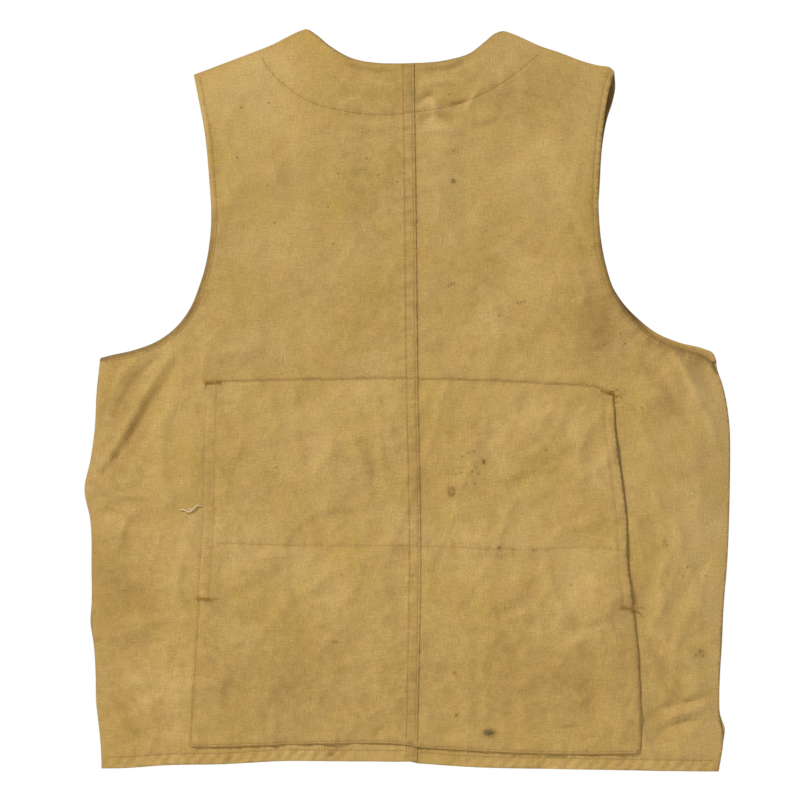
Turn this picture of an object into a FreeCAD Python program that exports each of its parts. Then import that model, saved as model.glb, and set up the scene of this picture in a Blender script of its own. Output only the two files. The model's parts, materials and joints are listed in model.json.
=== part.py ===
import FreeCAD, Part
import math
import os
import Sketcher

# Canvas field vest with a game pouch across the back.  Millimetres.
#
# Frame: +Z up, the front faces -Y and the back faces +Y, and +X is the wearer's left.
# The origin is midway between the two points where the shoulder seams meet the neck.
#
# Every cloth layer is a thin shell of one shallow crown: a flat field whose flanks slope
# down to the side and shoulder seams, where the back and the fronts meet on y = 0.
# The wearer's left pieces are drawn, and the right ones are their mirror images.

DIMENSIONS = (
    # Cloth
    ("canvas", 1.2, "thickness of one layer of canvas"),
    ("drill", 0.8, "thickness of one layer of lining"),
    # Silhouette, half widths from the centre line and drops below the neck points
    ("neck_half", 92, "neck point of the shoulder seam"),
    ("neck_drop", 32, "lowest point of the back neck"),
    ("neck_radius", 148.25, "curve of the back neck"),
    ("tip_half", 193, "outer end of the shoulder seam"),
    ("tip_drop", 40, "outer end of the shoulder seam"),
    ("ridge_half", 255, "shoulder line carried on to the side line"),
    ("chest_half", 297, "widest point of the side seam"),
    ("chest_drop", 423, "widest point of the side seam"),
    ("hem_half", 285, "side seam at the hem"),
    ("hem_drop", 681, "side seam at the hem"),
    ("hem_arch", 8, "rise of the hem at the centre line"),
    # Crown
    ("back_depth", 30, "flat field of the back above the seams"),
    ("front_depth", 16, "flat field of the fronts above the seams"),
    ("flank_run", 2.5, "width of a flank for each millimetre of its depth"),
    ("spare", 40, "length by which cutting outlines run past the cloth"),
    # Armholes
    ("arm_waist_half", 181, "narrowest point of the armhole"),
    ("arm_waist_drop", 170, "narrowest point of the armhole"),
    ("arm_upper_radius", 1200, "armhole above its narrowest point"),
    ("arm_lower_radius", 162, "armhole below its narrowest point"),
    ("arm_low_half", 229, "start of the straight run to the armpit"),
    ("arm_low_drop", 285, "start of the straight run to the armpit"),
    ("pit_half", 283, "armpit"),
    ("pit_drop", 302, "armpit"),
    ("front_arm_more", 6, "extra width of the fronts at the armhole"),
    ("arm_facing", 12, "width of the armhole facing"),
    # Back neck facing
    ("yoke_flat_half", 60, "straight lower edge of the neck facing"),
    ("yoke_flat_drop", 77, "straight lower edge of the neck facing"),
    ("yoke_half", 135, "neck facing at the shoulder seam"),
    ("yoke_drop", 22, "neck facing at the shoulder seam"),
    ("yoke_radius", 79, "corner curve of the neck facing"),
    # Front opening
    ("edge_half", 5, "front edge from the centre line, with the vest unbuttoned"),
    ("vee_drop", 232, "lowest point of the front neck"),
    ("vee_radius", 420, "curve of the front neck"),
    ("placket", 45, "width of the front facing"),
    ("placket_vee_half", 100, "front facing beside the neck"),
    ("placket_vee_drop", 80, "front facing beside the neck"),
    ("placket_top_half", 70, "upper end of the front facing"),
    ("placket_top_drop", 40, "upper end of the front facing"),
    ("fold_half", 85, "fold line of a front, at the height of the neck points"),
    ("fold_flare", 0.288, "run of the fold line outwards for each millimetre down"),
    ("fold_gap", 0.3, "clearance between the two sides of the fold line"),
    # Game pouch
    ("pouch_top_half", 187, "pouch at its top"),
    ("pouch_top_drop", 323, "pouch at its top"),
    ("pouch_foot_half", 207, "pouch at the hem"),
    ("pouch_foot_drop", 660, "pouch at the hem"),
    ("pouch_depth", 9, "how far the pouch stands off the back"),
    ("pouch_flank", 6, "width of the pouch's sloping edge"),
    ("slot_top_drop", 335, "top of the side slots"),
    ("slot_foot_drop", 511, "foot of the side slots"),
    ("slot_inner_half", 175, "inner end of the cut that opens a side slot"),
    ("liner_half", 190, "pouch lining"),
    ("liner_top_drop", 475, "pouch lining"),
    ("liner_foot_drop", 652, "pouch lining"),
    ("tack_length", 13, "bar tack"),
    ("tack_width", 2.5, "bar tack"),
    ("tack_depth", 0.8, "bar tack, sunk flush into the pouch"),
    ("tack_inner_half", 167, "inner end of a bar tack"),
    ("tack_clear", 3, "bar tack beyond the end of its slot"),
    # Pockets of the fronts
    ("pocket_corner", 12, "lower corners of the pockets"),
    ("chest_pocket_inner", 38, "edge nearest the centre line"),
    ("chest_pocket_width", 94, "chest pocket"),
    ("chest_pocket_height", 110, "chest pocket"),
    ("chest_pocket_drop", 240, "mouth of the chest pocket"),
    ("chest_pocket_depth", 10, "chest pocket"),
    ("lower_pocket_inner", 35, "edge nearest the centre line"),
    ("lower_pocket_width", 165, "lower pocket"),
    ("lower_pocket_height", 200, "lower pocket"),
    ("lower_pocket_drop", 455, "mouth of the lower pocket"),
    ("lower_pocket_depth", 14, "lower pocket"),
    # Flaps
    ("flap_over", 3, "flap beyond each side of its pocket"),
    ("flap_stand", 2, "space between a flap and its pocket"),
    ("flap_rise", 18, "flap's seam above the pocket's mouth"),
    ("chest_flap_length", 62, "chest flap, from its seam to its lower edge"),
    ("lower_flap_length", 84, "lower flap, from its seam to its lower edge"),
    # Snap fasteners
    ("snap_up", 13, "snap above the flap's lower edge"),
    ("cap_radius", 6.5, "cap"),
    ("cap_height", 1.2, "cap"),
    ("socket_radius", 4.8, "socket"),
    ("socket_bore", 3.2, "socket, radius of its bore"),
    ("socket_height", 1.5, "socket"),
    ("stud_radius", 2, "stud"),
    ("stud_height", 1.3, "stud"),
    # Buttons and buttonholes
    ("button_drop", 250, "first button"),
    ("button_pitch", 100, "from one button to the next"),
    ("button_inset", 15, "button from the front edge"),
    ("button_radius", 10, "button"),
    ("button_height", 3, "button"),
    ("thread_radius", 2.5, "thread that holds a button"),
    ("thread_height", 1.5, "thread that holds a button"),
    ("eye_radius", 1, "hole in a button"),
    ("eye_offset", 1.5, "hole in a button, from its centre each way"),
    ("slit_length", 23, "buttonhole"),
    ("slit_width", 1.6, "buttonhole"),
)
BUTTON_COUNT = 5
HALF_RIGHT_ANGLE_TANGENT = "tan(22.5 deg)"

DOC = FreeCAD.newDocument("field_vest")
SHEET = DOC.addObject("Spreadsheet::Sheet", "dims")
NODES = []

# A sketch on the XZ plane: its x is the vest's X and its y is the vest's Z.
UPRIGHT = FreeCAD.Placement(FreeCAD.Vector(0, 0, 0), FreeCAD.Rotation(FreeCAD.Vector(1, 0, 0), 90))
BACKWARD = FreeCAD.Vector(0, 1, 0)
FORWARD = FreeCAD.Vector(0, -1, 0)


def fill_sheet():
    for row, (alias, size, note) in enumerate(DIMENSIONS, start=1):
        SHEET.set("A%d" % row, str(size))
        SHEET.setAlias("A%d" % row, alias)
        SHEET.set("B%d" % row, note)
    DOC.recompute()


def value(expression):
    """The number that an expression of sheet cells gives."""
    return float(SHEET.evalExpression(expression))


def node(item, label):
    """Marks a document object as one sub-part of the vest."""
    item.Label = label
    NODES.append(item)
    return item


def arc_between(start, end, radius):
    """Anticlockwise arc between two points; a positive radius puts its centre on the left
    of the way from start to end, and a negative one on the right."""
    chord = end - start
    left = FreeCAD.Vector(-chord.y, chord.x, 0).normalize()
    half = chord.Length / 2
    to_centre = math.sqrt(radius ** 2 - half ** 2) * math.copysign(1, radius)
    centre = (start + end) / 2 + left * to_centre
    middle = centre - left * radius
    if radius < 0:
        start, end = end, start
    return Part.Arc(start, middle, end)


def draw_outline(sketch, corners):
    """Draws a closed outline and binds it to the sheet.

    A corner is (x, y), or (x, y, radius) where an arc runs on to the next corner.
    Each entry is an expression; a radius is positive where the arc's centre is on the left.
    """
    points = [FreeCAD.Vector(value(corner[0]), value(corner[1]), 0) for corner in corners]
    ends = []
    for index, corner in enumerate(corners):
        start = points[index]
        end = points[(index + 1) % len(points)]
        if len(corner) == 3:
            edge = arc_between(start, end, value(corner[2]))
        else:
            edge = Part.LineSegment(start, end)
        sketch.addGeometry(edge, False)
        drawn = sketch.Geometry[index]
        forwards = drawn.StartPoint.distanceToPoint(start) < drawn.StartPoint.distanceToPoint(end)
        ends.append((1, 2) if forwards else (2, 1))
    for index, corner in enumerate(corners):
        following = (index + 1) % len(corners)
        sketch.addConstraint(
            Sketcher.Constraint("Coincident", index, ends[index][1], following, ends[following][0])
        )
        for kind, number, expression in (
            ("DistanceX", points[index].x, corner[0]),
            ("DistanceY", points[index].y, corner[1]),
        ):
            place = sketch.addConstraint(
                Sketcher.Constraint(kind, -1, 1, index, ends[index][0], number)
            )
            sketch.setExpression("Constraints[%d]" % place, expression)
        if len(corner) == 3:
            radius = sketch.addConstraint(
                Sketcher.Constraint("Radius", index, abs(value(corner[2])))
            )
            sketch.setExpression("Constraints[%d]" % radius, "abs(%s)" % corner[2])


def upright_sketch(name, corners):
    sketch = DOC.addObject("Sketcher::SketchObject", name)
    sketch.Placement = UPRIGHT
    draw_outline(sketch, corners)
    return sketch


def extrude(name, sketch, direction, length, taper=None, start="0"):
    """Extrudes an upright sketch along Y, from the plane y = start."""
    solid = DOC.addObject("Part::Extrusion", name)
    solid.Base = sketch
    solid.DirMode = "Custom"
    solid.Dir = direction
    solid.Solid = True
    solid.setExpression("LengthFwd", length)
    if taper is not None:
        solid.setExpression("TaperAngle", taper)
    solid.setExpression("Placement.Base.y", start)
    return solid


def combine(kind, name, base, tool):
    """Part::Cut, Part::Common or Part::Fuse of two objects."""
    result = DOC.addObject("Part::" + kind, name)
    result.Base = base
    result.Tool = tool
    return result


def mirrored(source, label):
    """The same piece on the wearer's other side."""
    twin = DOC.addObject("Part::Mirroring", label)
    twin.Source = source
    twin.Base = FreeCAD.Vector(0, 0, 0)
    twin.Normal = FreeCAD.Vector(1, 0, 0)
    return node(twin, label)


def compound(name, members):
    """Several separate solids as one object."""
    group = DOC.addObject("Part::Compound", name)
    group.Links = members
    return group


def both_sides(item, label):
    """Files a wearer's-left piece and its mirror image."""
    node(item, label)
    mirrored(item, label.replace("left", "right"))


def box(name, low, size):
    """Part::Box from its low corner and its size, both as expressions."""
    block = DOC.addObject("Part::Box", name)
    for edge, expression in zip(("Length", "Width", "Height"), size):
        block.setExpression(edge, expression)
    for axis, expression in zip("xyz", low):
        block.setExpression("Placement.Base." + axis, expression)
    return block


# ---------------------------------------------------------------- cloth shells

def crown_corners():
    """The vest's whole silhouette, carried past the neck and the hem."""
    apex = "dims.tip_drop * dims.neck_half / (dims.tip_half - dims.neck_half)"
    fall = "(dims.tip_drop / (dims.tip_half - dims.neck_half))"
    ridge_z = "%s - %s * dims.ridge_half" % (apex, fall)
    past = "(dims.hem_drop + 3 * dims.spare)"
    side_slope = "(dims.chest_half - dims.hem_half) / (dims.hem_drop - dims.chest_drop)"
    foot_x = "dims.hem_half - 3 * dims.spare * %s" % side_slope
    return (
        ("0", apex),
        ("dims.ridge_half", ridge_z),
        ("dims.chest_half", "-dims.chest_drop"),
        (foot_x, "-" + past),
        ("-(%s)" % foot_x, "-" + past),
        ("-dims.chest_half", "-dims.chest_drop"),
        ("-dims.ridge_half", ridge_z),
    )


def cloth_layers(side, direction, depth, count):
    """Shells of one canvas thickness each, from the outside inwards."""
    sign = direction.y
    outline = upright_sketch(side + "_crown_outline", crown_corners())
    crowns = []
    for level in range(count + 1):
        start = "%g * dims.canvas" % (-sign * level)
        name = "%s_crown_%d" % (side, level)
        crowns.append(extrude(name, outline, direction, depth, "-atan(dims.flank_run)", start))
    layers = []
    for level in range(count):
        name = "%s_layer_%d" % (side, level)
        layers.append(combine("Cut", name, crowns[level], crowns[level + 1]))
    return layers


def cloth_piece(name, layer, direction, corners):
    """The part of a layer inside an outline."""
    sketch = upright_sketch(name + "_outline", corners)
    prism = extrude(name + "_prism", sketch, direction, "2 * dims.back_depth")
    return combine("Common", name, layer, prism)


def armhole_corners(more, inset=False):
    """The armhole from the shoulder tip down to the armpit.

    more widens the cloth; inset gives the parallel line at the facing's inner edge.
    """
    waist = "dims.arm_waist_half + %s" % more
    low_x = "dims.arm_low_half + %s" % more
    if not inset:
        return (
            ("dims.tip_half", "-dims.tip_drop", "dims.arm_upper_radius"),
            (waist, "-dims.arm_waist_drop", "dims.arm_lower_radius"),
            (low_x, "-dims.arm_low_drop"),
            ("dims.pit_half", "-dims.pit_drop"),
        )
    diagonal = "dims.arm_facing * cos(45 deg)"
    return (
        ("dims.pit_half", "-dims.pit_drop - dims.arm_facing"),
        (
            "%s - %s" % (low_x, diagonal),
            "-dims.arm_low_drop - %s" % diagonal,
            "-dims.arm_lower_radius - dims.arm_facing",
        ),
        ("%s - dims.arm_facing" % waist, "-dims.arm_waist_drop"),
        ("dims.tip_half - dims.arm_facing", "-dims.tip_drop"),
    )


def back_corners():
    """Left half of the back: centre seam, neck, shoulder, armhole, side and hem."""
    return (
        ("0", "-dims.hem_drop + dims.hem_arch"),
        ("dims.chest_half + dims.spare", "-dims.hem_drop"),
        ("dims.chest_half + dims.spare", "-dims.pit_drop"),
    ) + tuple(reversed_run(armhole_corners("0"))) + (
        ("dims.tip_half", "dims.spare"),
        ("dims.neck_half", "dims.spare"),
        ("dims.neck_half", "0", "-dims.neck_radius"),
        ("0", "-dims.neck_drop"),
    )


def reversed_run(corners):
    """The same run of corners the other way, with each arc's centre on its other side."""
    turned = []
    for index in range(len(corners) - 1, -1, -1):
        corner = corners[index][:2]
        if index > 0 and len(corners[index - 1]) == 3:
            corner += ("-(%s)" % corners[index - 1][2],)
        turned.append(corner)
    return turned


def front_corners():
    """Left front: hem, side, armhole, shoulder, V neck and front edge."""
    return (
        ("dims.edge_half", "-dims.hem_drop + dims.hem_arch"),
        ("dims.chest_half + dims.spare", "-dims.hem_drop"),
        ("dims.chest_half + dims.spare", "-dims.pit_drop"),
    ) + tuple(reversed_run(armhole_corners("dims.front_arm_more"))) + (
        ("dims.tip_half", "dims.spare"),
        ("dims.neck_half", "dims.spare"),
        ("dims.neck_half", "0", "-dims.vee_radius"),
        ("dims.edge_half", "-dims.vee_drop"),
    )


def fold_corners(inboard):
    """Everything on one side of the fold line of the left front."""
    top = "dims.fold_half - dims.fold_flare * dims.spare"
    foot = "dims.fold_half + dims.fold_flare * (dims.hem_drop + dims.spare)"
    foot_z = "-dims.hem_drop - dims.spare"
    if inboard:
        return (
            ("0", foot_z),
            (foot + " - dims.fold_gap", foot_z),
            (top + " - dims.fold_gap", "dims.spare"),
            ("0", "dims.spare"),
        )
    return (
        (foot, foot_z),
        ("dims.chest_half + dims.spare", foot_z),
        ("dims.chest_half + dims.spare", "dims.spare"),
        (top, "dims.spare"),
    )


def placket_corners():
    """The strip along the front edge and the V neck."""
    return (
        ("0", "-dims.hem_drop"),
        ("dims.edge_half + dims.placket", "-dims.hem_drop"),
        ("dims.edge_half + dims.placket", "-dims.vee_drop"),
        ("dims.placket_vee_half", "-dims.placket_vee_drop"),
        ("dims.placket_top_half", "-dims.placket_top_drop"),
        ("0", "-dims.placket_top_drop"),
    )


def neck_facing_corners():
    """The facing inside the back neck, from one shoulder seam to the other."""
    return (
        ("-dims.neck_half", "0", "dims.neck_radius"),
        ("dims.neck_half", "0"),
        ("dims.neck_half", "dims.spare"),
        ("dims.yoke_half", "dims.spare"),
        ("dims.yoke_half", "-dims.yoke_drop", "-dims.yoke_radius"),
        ("dims.yoke_flat_half", "-dims.yoke_flat_drop"),
        ("-dims.yoke_flat_half", "-dims.yoke_flat_drop", "-dims.yoke_radius"),
        ("-dims.yoke_half", "-dims.yoke_drop"),
        ("-dims.yoke_half", "dims.spare"),
        ("-dims.neck_half", "dims.spare"),
    )


def arm_facing_corners(more):
    """The band just inside the armhole edge."""
    return armhole_corners(more) + armhole_corners(more, inset=True)


def make_back(layers):
    both_sides(cloth_piece("back_left_panel", layers[0], BACKWARD, back_corners()), "back_left_panel")
    neck = cloth_piece("back_neck_facing", layers[1], BACKWARD, neck_facing_corners())
    node(neck, "back_neck_facing")


def make_armhole_facing(back_layer, front_layer):
    behind = cloth_piece("arm_facing_back", back_layer, BACKWARD, arm_facing_corners("0"))
    ahead = cloth_piece(
        "arm_facing_front", front_layer, FORWARD, arm_facing_corners("dims.front_arm_more")
    )
    both_sides(combine("Fuse", "armhole_facing_left", behind, ahead), "armhole_facing_left")


def make_fronts(layers):
    """Each front is one cloth, split along its fold line; buttonholes on the wearer's left."""
    cloth = cloth_piece("front_left_cloth", layers[0], FORWARD, front_corners())
    facing = cloth_piece("front_left_inner", layers[1], FORWARD, front_corners())
    strip_outline = upright_sketch("placket_outline", placket_corners())
    strip = extrude("placket_prism", strip_outline, FORWARD, "2 * dims.back_depth")
    facing = combine("Common", "front_facing_whole", facing, strip)
    sides = {}
    for place, inboard in (("panel", True), ("side", False)):
        outline = upright_sketch("fold_outline_" + place, fold_corners(inboard))
        prism = extrude("fold_prism_" + place, outline, FORWARD, "2 * dims.back_depth")
        sides[place] = combine("Common", "front_%s_whole" % place, cloth, prism)
    slits = button_row("buttonholes", slit)
    node(combine("Cut", "front_left_panel", sides["panel"], slits), "front_left_panel")
    node(combine("Cut", "front_left_facing", facing, slits), "front_left_facing")
    node(sides["side"], "front_left_side")
    mirrored(sides["panel"], "front_right_panel")
    mirrored(facing, "front_right_facing")
    mirrored(sides["side"], "front_right_side")


# ---------------------------------------------------------------- buttons

BUTTON_X = "dims.edge_half + dims.button_inset"


def button_z(index):
    return "-dims.button_drop - %d * dims.button_pitch" % index


def button_row(name, make):
    """One compound of the same thing at every button's place."""
    return compound(name, [make("%s_%d" % (name, index), index) for index in range(BUTTON_COUNT)])


def slit(name, index):
    low = (
        "%s - dims.slit_length / 2" % BUTTON_X,
        "-2 * dims.back_depth",
        "%s - dims.slit_width / 2" % button_z(index),
    )
    return box(name, low, ("dims.slit_length", "2 * dims.back_depth", "dims.slit_width"))


def forward_cylinder(name, radius, height, x, y, z):
    """A cylinder that runs towards -Y from the point x, y, z."""
    cylinder = DOC.addObject("Part::Cylinder", name)
    cylinder.setExpression("Radius", radius)
    cylinder.setExpression("Height", height)
    cylinder.Placement = FreeCAD.Placement(
        FreeCAD.Vector(0, 0, 0), FreeCAD.Rotation(FreeCAD.Vector(1, 0, 0), 90)
    )
    for axis, expression in zip("xyz", (x, y, z)):
        cylinder.setExpression("Placement.Base." + axis, expression)
    return cylinder


def button(name, index):
    """A four-hole button, standing off the cloth on its thread."""
    base_y = "-dims.front_depth - dims.thread_height"
    x = "-(%s)" % BUTTON_X
    disc = forward_cylinder(
        name + "_disc", "dims.button_radius", "dims.button_height", x, base_y, button_z(index)
    )
    holes = []
    for across in (-1, 1):
        for up in (-1, 1):
            holes.append(forward_cylinder(
                "%s_eye_%d_%d" % (name, across + 1, up + 1),
                "dims.eye_radius",
                "dims.button_height",
                "%s + %d * dims.eye_offset" % (x, across),
                base_y,
                "%s + %d * dims.eye_offset" % (button_z(index), up),
            ))
    return combine("Cut", name, disc, compound(name + "_eyes", holes))


def button_thread(name, index):
    return forward_cylinder(
        name, "dims.thread_radius", "dims.thread_height",
        "-(%s)" % BUTTON_X, "-dims.front_depth", button_z(index)
    )


# ---------------------------------------------------------------- game pouch

def pouch_corners():
    return (
        ("dims.pouch_top_half", "-dims.pouch_top_drop"),
        ("dims.pouch_foot_half", "-dims.pouch_foot_drop"),
        ("-dims.pouch_foot_half", "-dims.pouch_foot_drop"),
        ("-dims.pouch_top_half", "-dims.pouch_top_drop"),
    )


def make_pouch():
    """A shallow bag on the back, open at a slot in each side, with bar tacks at the slots' ends."""
    outline = upright_sketch("pouch_outline", pouch_corners())
    taper = "-atan(dims.pouch_flank / dims.pouch_depth)"
    outer = extrude(
        "pouch_outer", outline, BACKWARD, "dims.pouch_depth", taper, "dims.back_depth"
    )
    inner = extrude(
        "pouch_inner", outline, BACKWARD, "dims.pouch_depth", taper,
        "dims.back_depth - dims.canvas"
    )
    shell = combine("Cut", "pouch_shell", outer, inner)
    slot = box(
        "pouch_slot",
        ("dims.slot_inner_half", "dims.back_depth", "-dims.slot_foot_drop"),
        ("2 * dims.spare", "dims.pouch_depth - dims.canvas", "dims.slot_foot_drop - dims.slot_top_drop"),
    )
    half_space = box(
        "pouch_left_space",
        ("0", "dims.back_depth", "-dims.hem_drop"),
        ("dims.chest_half", "dims.pouch_depth", "dims.hem_drop"),
    )
    tacks = {
        side: [bar_tack("tack_%s_%s" % (side, end), side, end) for end in ("top", "foot")]
        for side in ("left", "right")
    }
    cuts = compound("pouch_left_cuts", [slot] + tacks["left"])
    left = combine("Common", "pouch_left_whole", shell, half_space)
    both_sides(combine("Cut", "pouch_left_half", left, cuts), "pouch_left_half")
    lining = box(
        "pouch_lining",
        ("-dims.liner_half", "dims.back_depth", "-dims.liner_foot_drop"),
        ("2 * dims.liner_half", "dims.drill", "dims.liner_foot_drop - dims.liner_top_drop"),
    )
    node(lining, "pouch_lining")
    node(compound("pouch_bar_tacks", tacks["left"] + tacks["right"]), "pouch_bar_tacks")


def bar_tack(name, side, end):
    """Dense bar of thread across the end of a slot, flush with the pouch's outer face."""
    start_x = "dims.tack_inner_half"
    if side == "right":
        start_x = "-dims.tack_inner_half - dims.tack_length"
    centre_z = "-dims.slot_top_drop + dims.tack_clear"
    if end == "foot":
        centre_z = "-dims.slot_foot_drop - dims.tack_clear"
    low = (
        start_x,
        "dims.back_depth + dims.pouch_depth - dims.tack_depth",
        "%s - dims.tack_width / 2" % centre_z,
    )
    return box(name, low, ("dims.tack_length", "dims.tack_depth", "dims.tack_width"))


# ---------------------------------------------------------------- pockets of the fronts

def body_plane(body, role):
    """One of the body's own origin planes."""
    for item in body.Origin.OriginFeatures:
        if item.Role == role:
            return item
    raise ValueError("the body has no plane " + role)


def body_sketch(body, name, role, corners):
    sketch = body.newObject("Sketcher::SketchObject", name)
    sketch.AttachmentSupport = [(body_plane(body, role), "")]
    sketch.MapMode = "FlatFace"
    DOC.recompute()
    draw_outline(sketch, corners)
    return sketch


def place(body, x, y, z):
    for axis, expression in zip("xyz", (x, y, z)):
        body.setExpression("Placement.Base." + axis, expression)


def pocket_corners(kind, inset):
    """A pocket's outline with its mouth on z = 0 and round lower corners."""
    half = "dims.%s_pocket_width / 2 - %s" % (kind, inset)
    foot = "-dims.%s_pocket_height + %s" % (kind, inset)
    round_corner = "dims.pocket_corner - %s" % inset
    return (
        ("-(%s)" % half, "0"),
        ("-(%s)" % half, "%s + %s" % (foot, round_corner), round_corner),
        ("-(%s) + %s" % (half, round_corner), foot),
        ("%s - (%s)" % (half, round_corner), foot, round_corner),
        (half, "%s + %s" % (foot, round_corner)),
        (half, "0"),
    )


def make_pocket(kind):
    """Wall and gusset of a patch pocket: the gusset stands on the front, the wall on the gusset."""
    centre_x = "dims.%s_pocket_inner + dims.%s_pocket_width / 2" % (kind, kind)
    mouth_z = "-dims.%s_pocket_drop" % kind
    inner_depth = "dims.%s_pocket_depth - dims.canvas" % kind

    gusset = DOC.addObject("PartDesign::Body", kind + "_pocket_left_gusset")
    rim = body_sketch(gusset, kind + "_rim_outline", "XZ_Plane", pocket_corners(kind, "0"))
    pad = gusset.newObject("PartDesign::Pad", kind + "_rim_pad")
    pad.Profile = rim
    pad.setExpression("Length", inner_depth)
    hollow = body_sketch(
        gusset, kind + "_hollow_outline", "XZ_Plane", pocket_corners(kind, "dims.canvas")
    )
    cut = gusset.newObject("PartDesign::Pocket", kind + "_hollow")
    cut.Profile = hollow
    cut.Reversed = True
    cut.setExpression("Length", inner_depth)
    place(gusset, centre_x, "-dims.front_depth", mouth_z)
    both_sides(gusset, kind + "_pocket_left_gusset")

    wall = DOC.addObject("PartDesign::Body", kind + "_pocket_left_wall")
    face = body_sketch(wall, kind + "_wall_outline", "XZ_Plane", pocket_corners(kind, "0"))
    sheet = wall.newObject("PartDesign::Pad", kind + "_wall_pad")
    sheet.Profile = face
    sheet.setExpression("Length", "dims.canvas")
    place(wall, centre_x, "-dims.front_depth - (%s)" % inner_depth, mouth_z)
    both_sides(wall, kind + "_pocket_left_wall")


def flap_levels(kind):
    """Distances of the flap's inner, middle and outer faces from the front."""
    inner = "(dims.%s_pocket_depth + dims.flap_stand)" % kind
    middle = "(%s + dims.drill)" % inner
    outer = "(%s + dims.canvas)" % middle
    return inner, middle, outer


def flap_corners(kind, lining):
    """Side view of the flap: 45 degrees down and forward from its seam, then straight down."""
    inner, middle, outer = flap_levels(kind)
    foot = "-dims.%s_flap_length" % kind
    bend = "-%s" % middle
    if lining:
        return (
            ("0", "0"),
            ("0", "-dims.drill / cos(45 deg)"),
            ("-" + inner, "%s - dims.drill * %s" % (bend, HALF_RIGHT_ANGLE_TANGENT)),
            ("-" + inner, foot),
            ("-" + middle, foot),
            ("-" + middle, bend),
        )
    return (
        ("0", "0"),
        ("-" + middle, bend),
        ("-" + middle, foot),
        ("-" + outer, foot),
        ("-" + outer, "%s + dims.canvas * %s" % (bend, HALF_RIGHT_ANGLE_TANGENT)),
        ("0", "dims.canvas / cos(45 deg)"),
    )


def make_flap(kind):
    """Canvas flap with a lining, sewn to the front above the pocket, and its snap."""
    centre_x = "dims.%s_pocket_inner + dims.%s_pocket_width / 2" % (kind, kind)
    seam_z = "-dims.%s_pocket_drop + dims.flap_rise" % kind
    for label, lining in ((kind + "_flap_left", False), (kind + "_flap_left_lining", True)):
        body = DOC.addObject("PartDesign::Body", label)
        profile = body_sketch(body, label + "_profile", "YZ_Plane", flap_corners(kind, lining))
        pad = body.newObject("PartDesign::Pad", label + "_pad")
        pad.Profile = profile
        pad.Midplane = True
        pad.setExpression("Length", "dims.%s_pocket_width + 2 * dims.flap_over" % kind)
        place(body, centre_x, "-dims.front_depth", seam_z)
        both_sides(body, label)
    make_snap(kind, centre_x, "%s - dims.%s_flap_length + dims.snap_up" % (seam_z, kind))


def make_snap(kind, x, z):
    """Cap and socket on the flap, and the stud on the pocket's wall."""
    inner, _, outer = flap_levels(kind)
    cap = forward_cylinder(
        kind + "_snap_cap", "dims.cap_radius", "dims.cap_height",
        x, "-dims.front_depth - %s" % outer, z
    )
    both_sides(cap, kind + "_snap_left_cap")
    base_y = "-dims.front_depth - %s + dims.socket_height" % inner
    ring = forward_cylinder(
        kind + "_socket_ring", "dims.socket_radius", "dims.socket_height", x, base_y, z
    )
    bore = forward_cylinder(
        kind + "_socket_bore", "dims.socket_bore", "dims.socket_height", x, base_y, z
    )
    both_sides(combine("Cut", kind + "_socket", ring, bore), kind + "_snap_left_socket")
    stud = forward_cylinder(
        kind + "_stud", "dims.stud_radius", "dims.stud_height",
        x, "-dims.front_depth - dims.%s_pocket_depth" % kind, z
    )
    both_sides(stud, kind + "_snap_left_stud")


# ---------------------------------------------------------------- the vest

def make_vest():
    fill_sheet()
    back_layers = cloth_layers("back", BACKWARD, "dims.back_depth", 2)
    front_layers = cloth_layers("front", FORWARD, "dims.front_depth", 2)
    make_back(back_layers)
    make_armhole_facing(back_layers[1], front_layers[1])
    make_fronts(front_layers)
    make_pouch()
    for kind in ("chest", "lower"):
        make_pocket(kind)
        make_flap(kind)
    node(button_row("front_buttons", button), "front_buttons")
    node(button_row("button_threads", button_thread), "button_threads")
    DOC.recompute()


def check_document():
    for item in DOC.Objects:
        if "Invalid" in item.State or "Error" in item.State:
            raise RuntimeError("%s failed: %s" % (item.Label, item.State))
    for item in NODES:
        if item.Shape.isNull() or not item.Shape.isValid() or not item.Shape.Solids:
            raise RuntimeError("%s has no valid solid" % item.Label)


def export_nodes():
    os.makedirs("parts", exist_ok=True)
    for item in NODES:
        item.Shape.exportStep("parts/%s.step" % item.Label)
        bounds = item.Shape.BoundBox
        print("%-28s %d solid(s) %9.0f mm3  x %7.1f %7.1f  y %6.1f %6.1f  z %7.1f %7.1f" % (
            item.Label, len(item.Shape.Solids), item.Shape.Volume,
            bounds.XMin, bounds.XMax, bounds.YMin, bounds.YMax, bounds.ZMin, bounds.ZMax,
        ))


make_vest()
check_document()
export_nodes()
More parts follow.
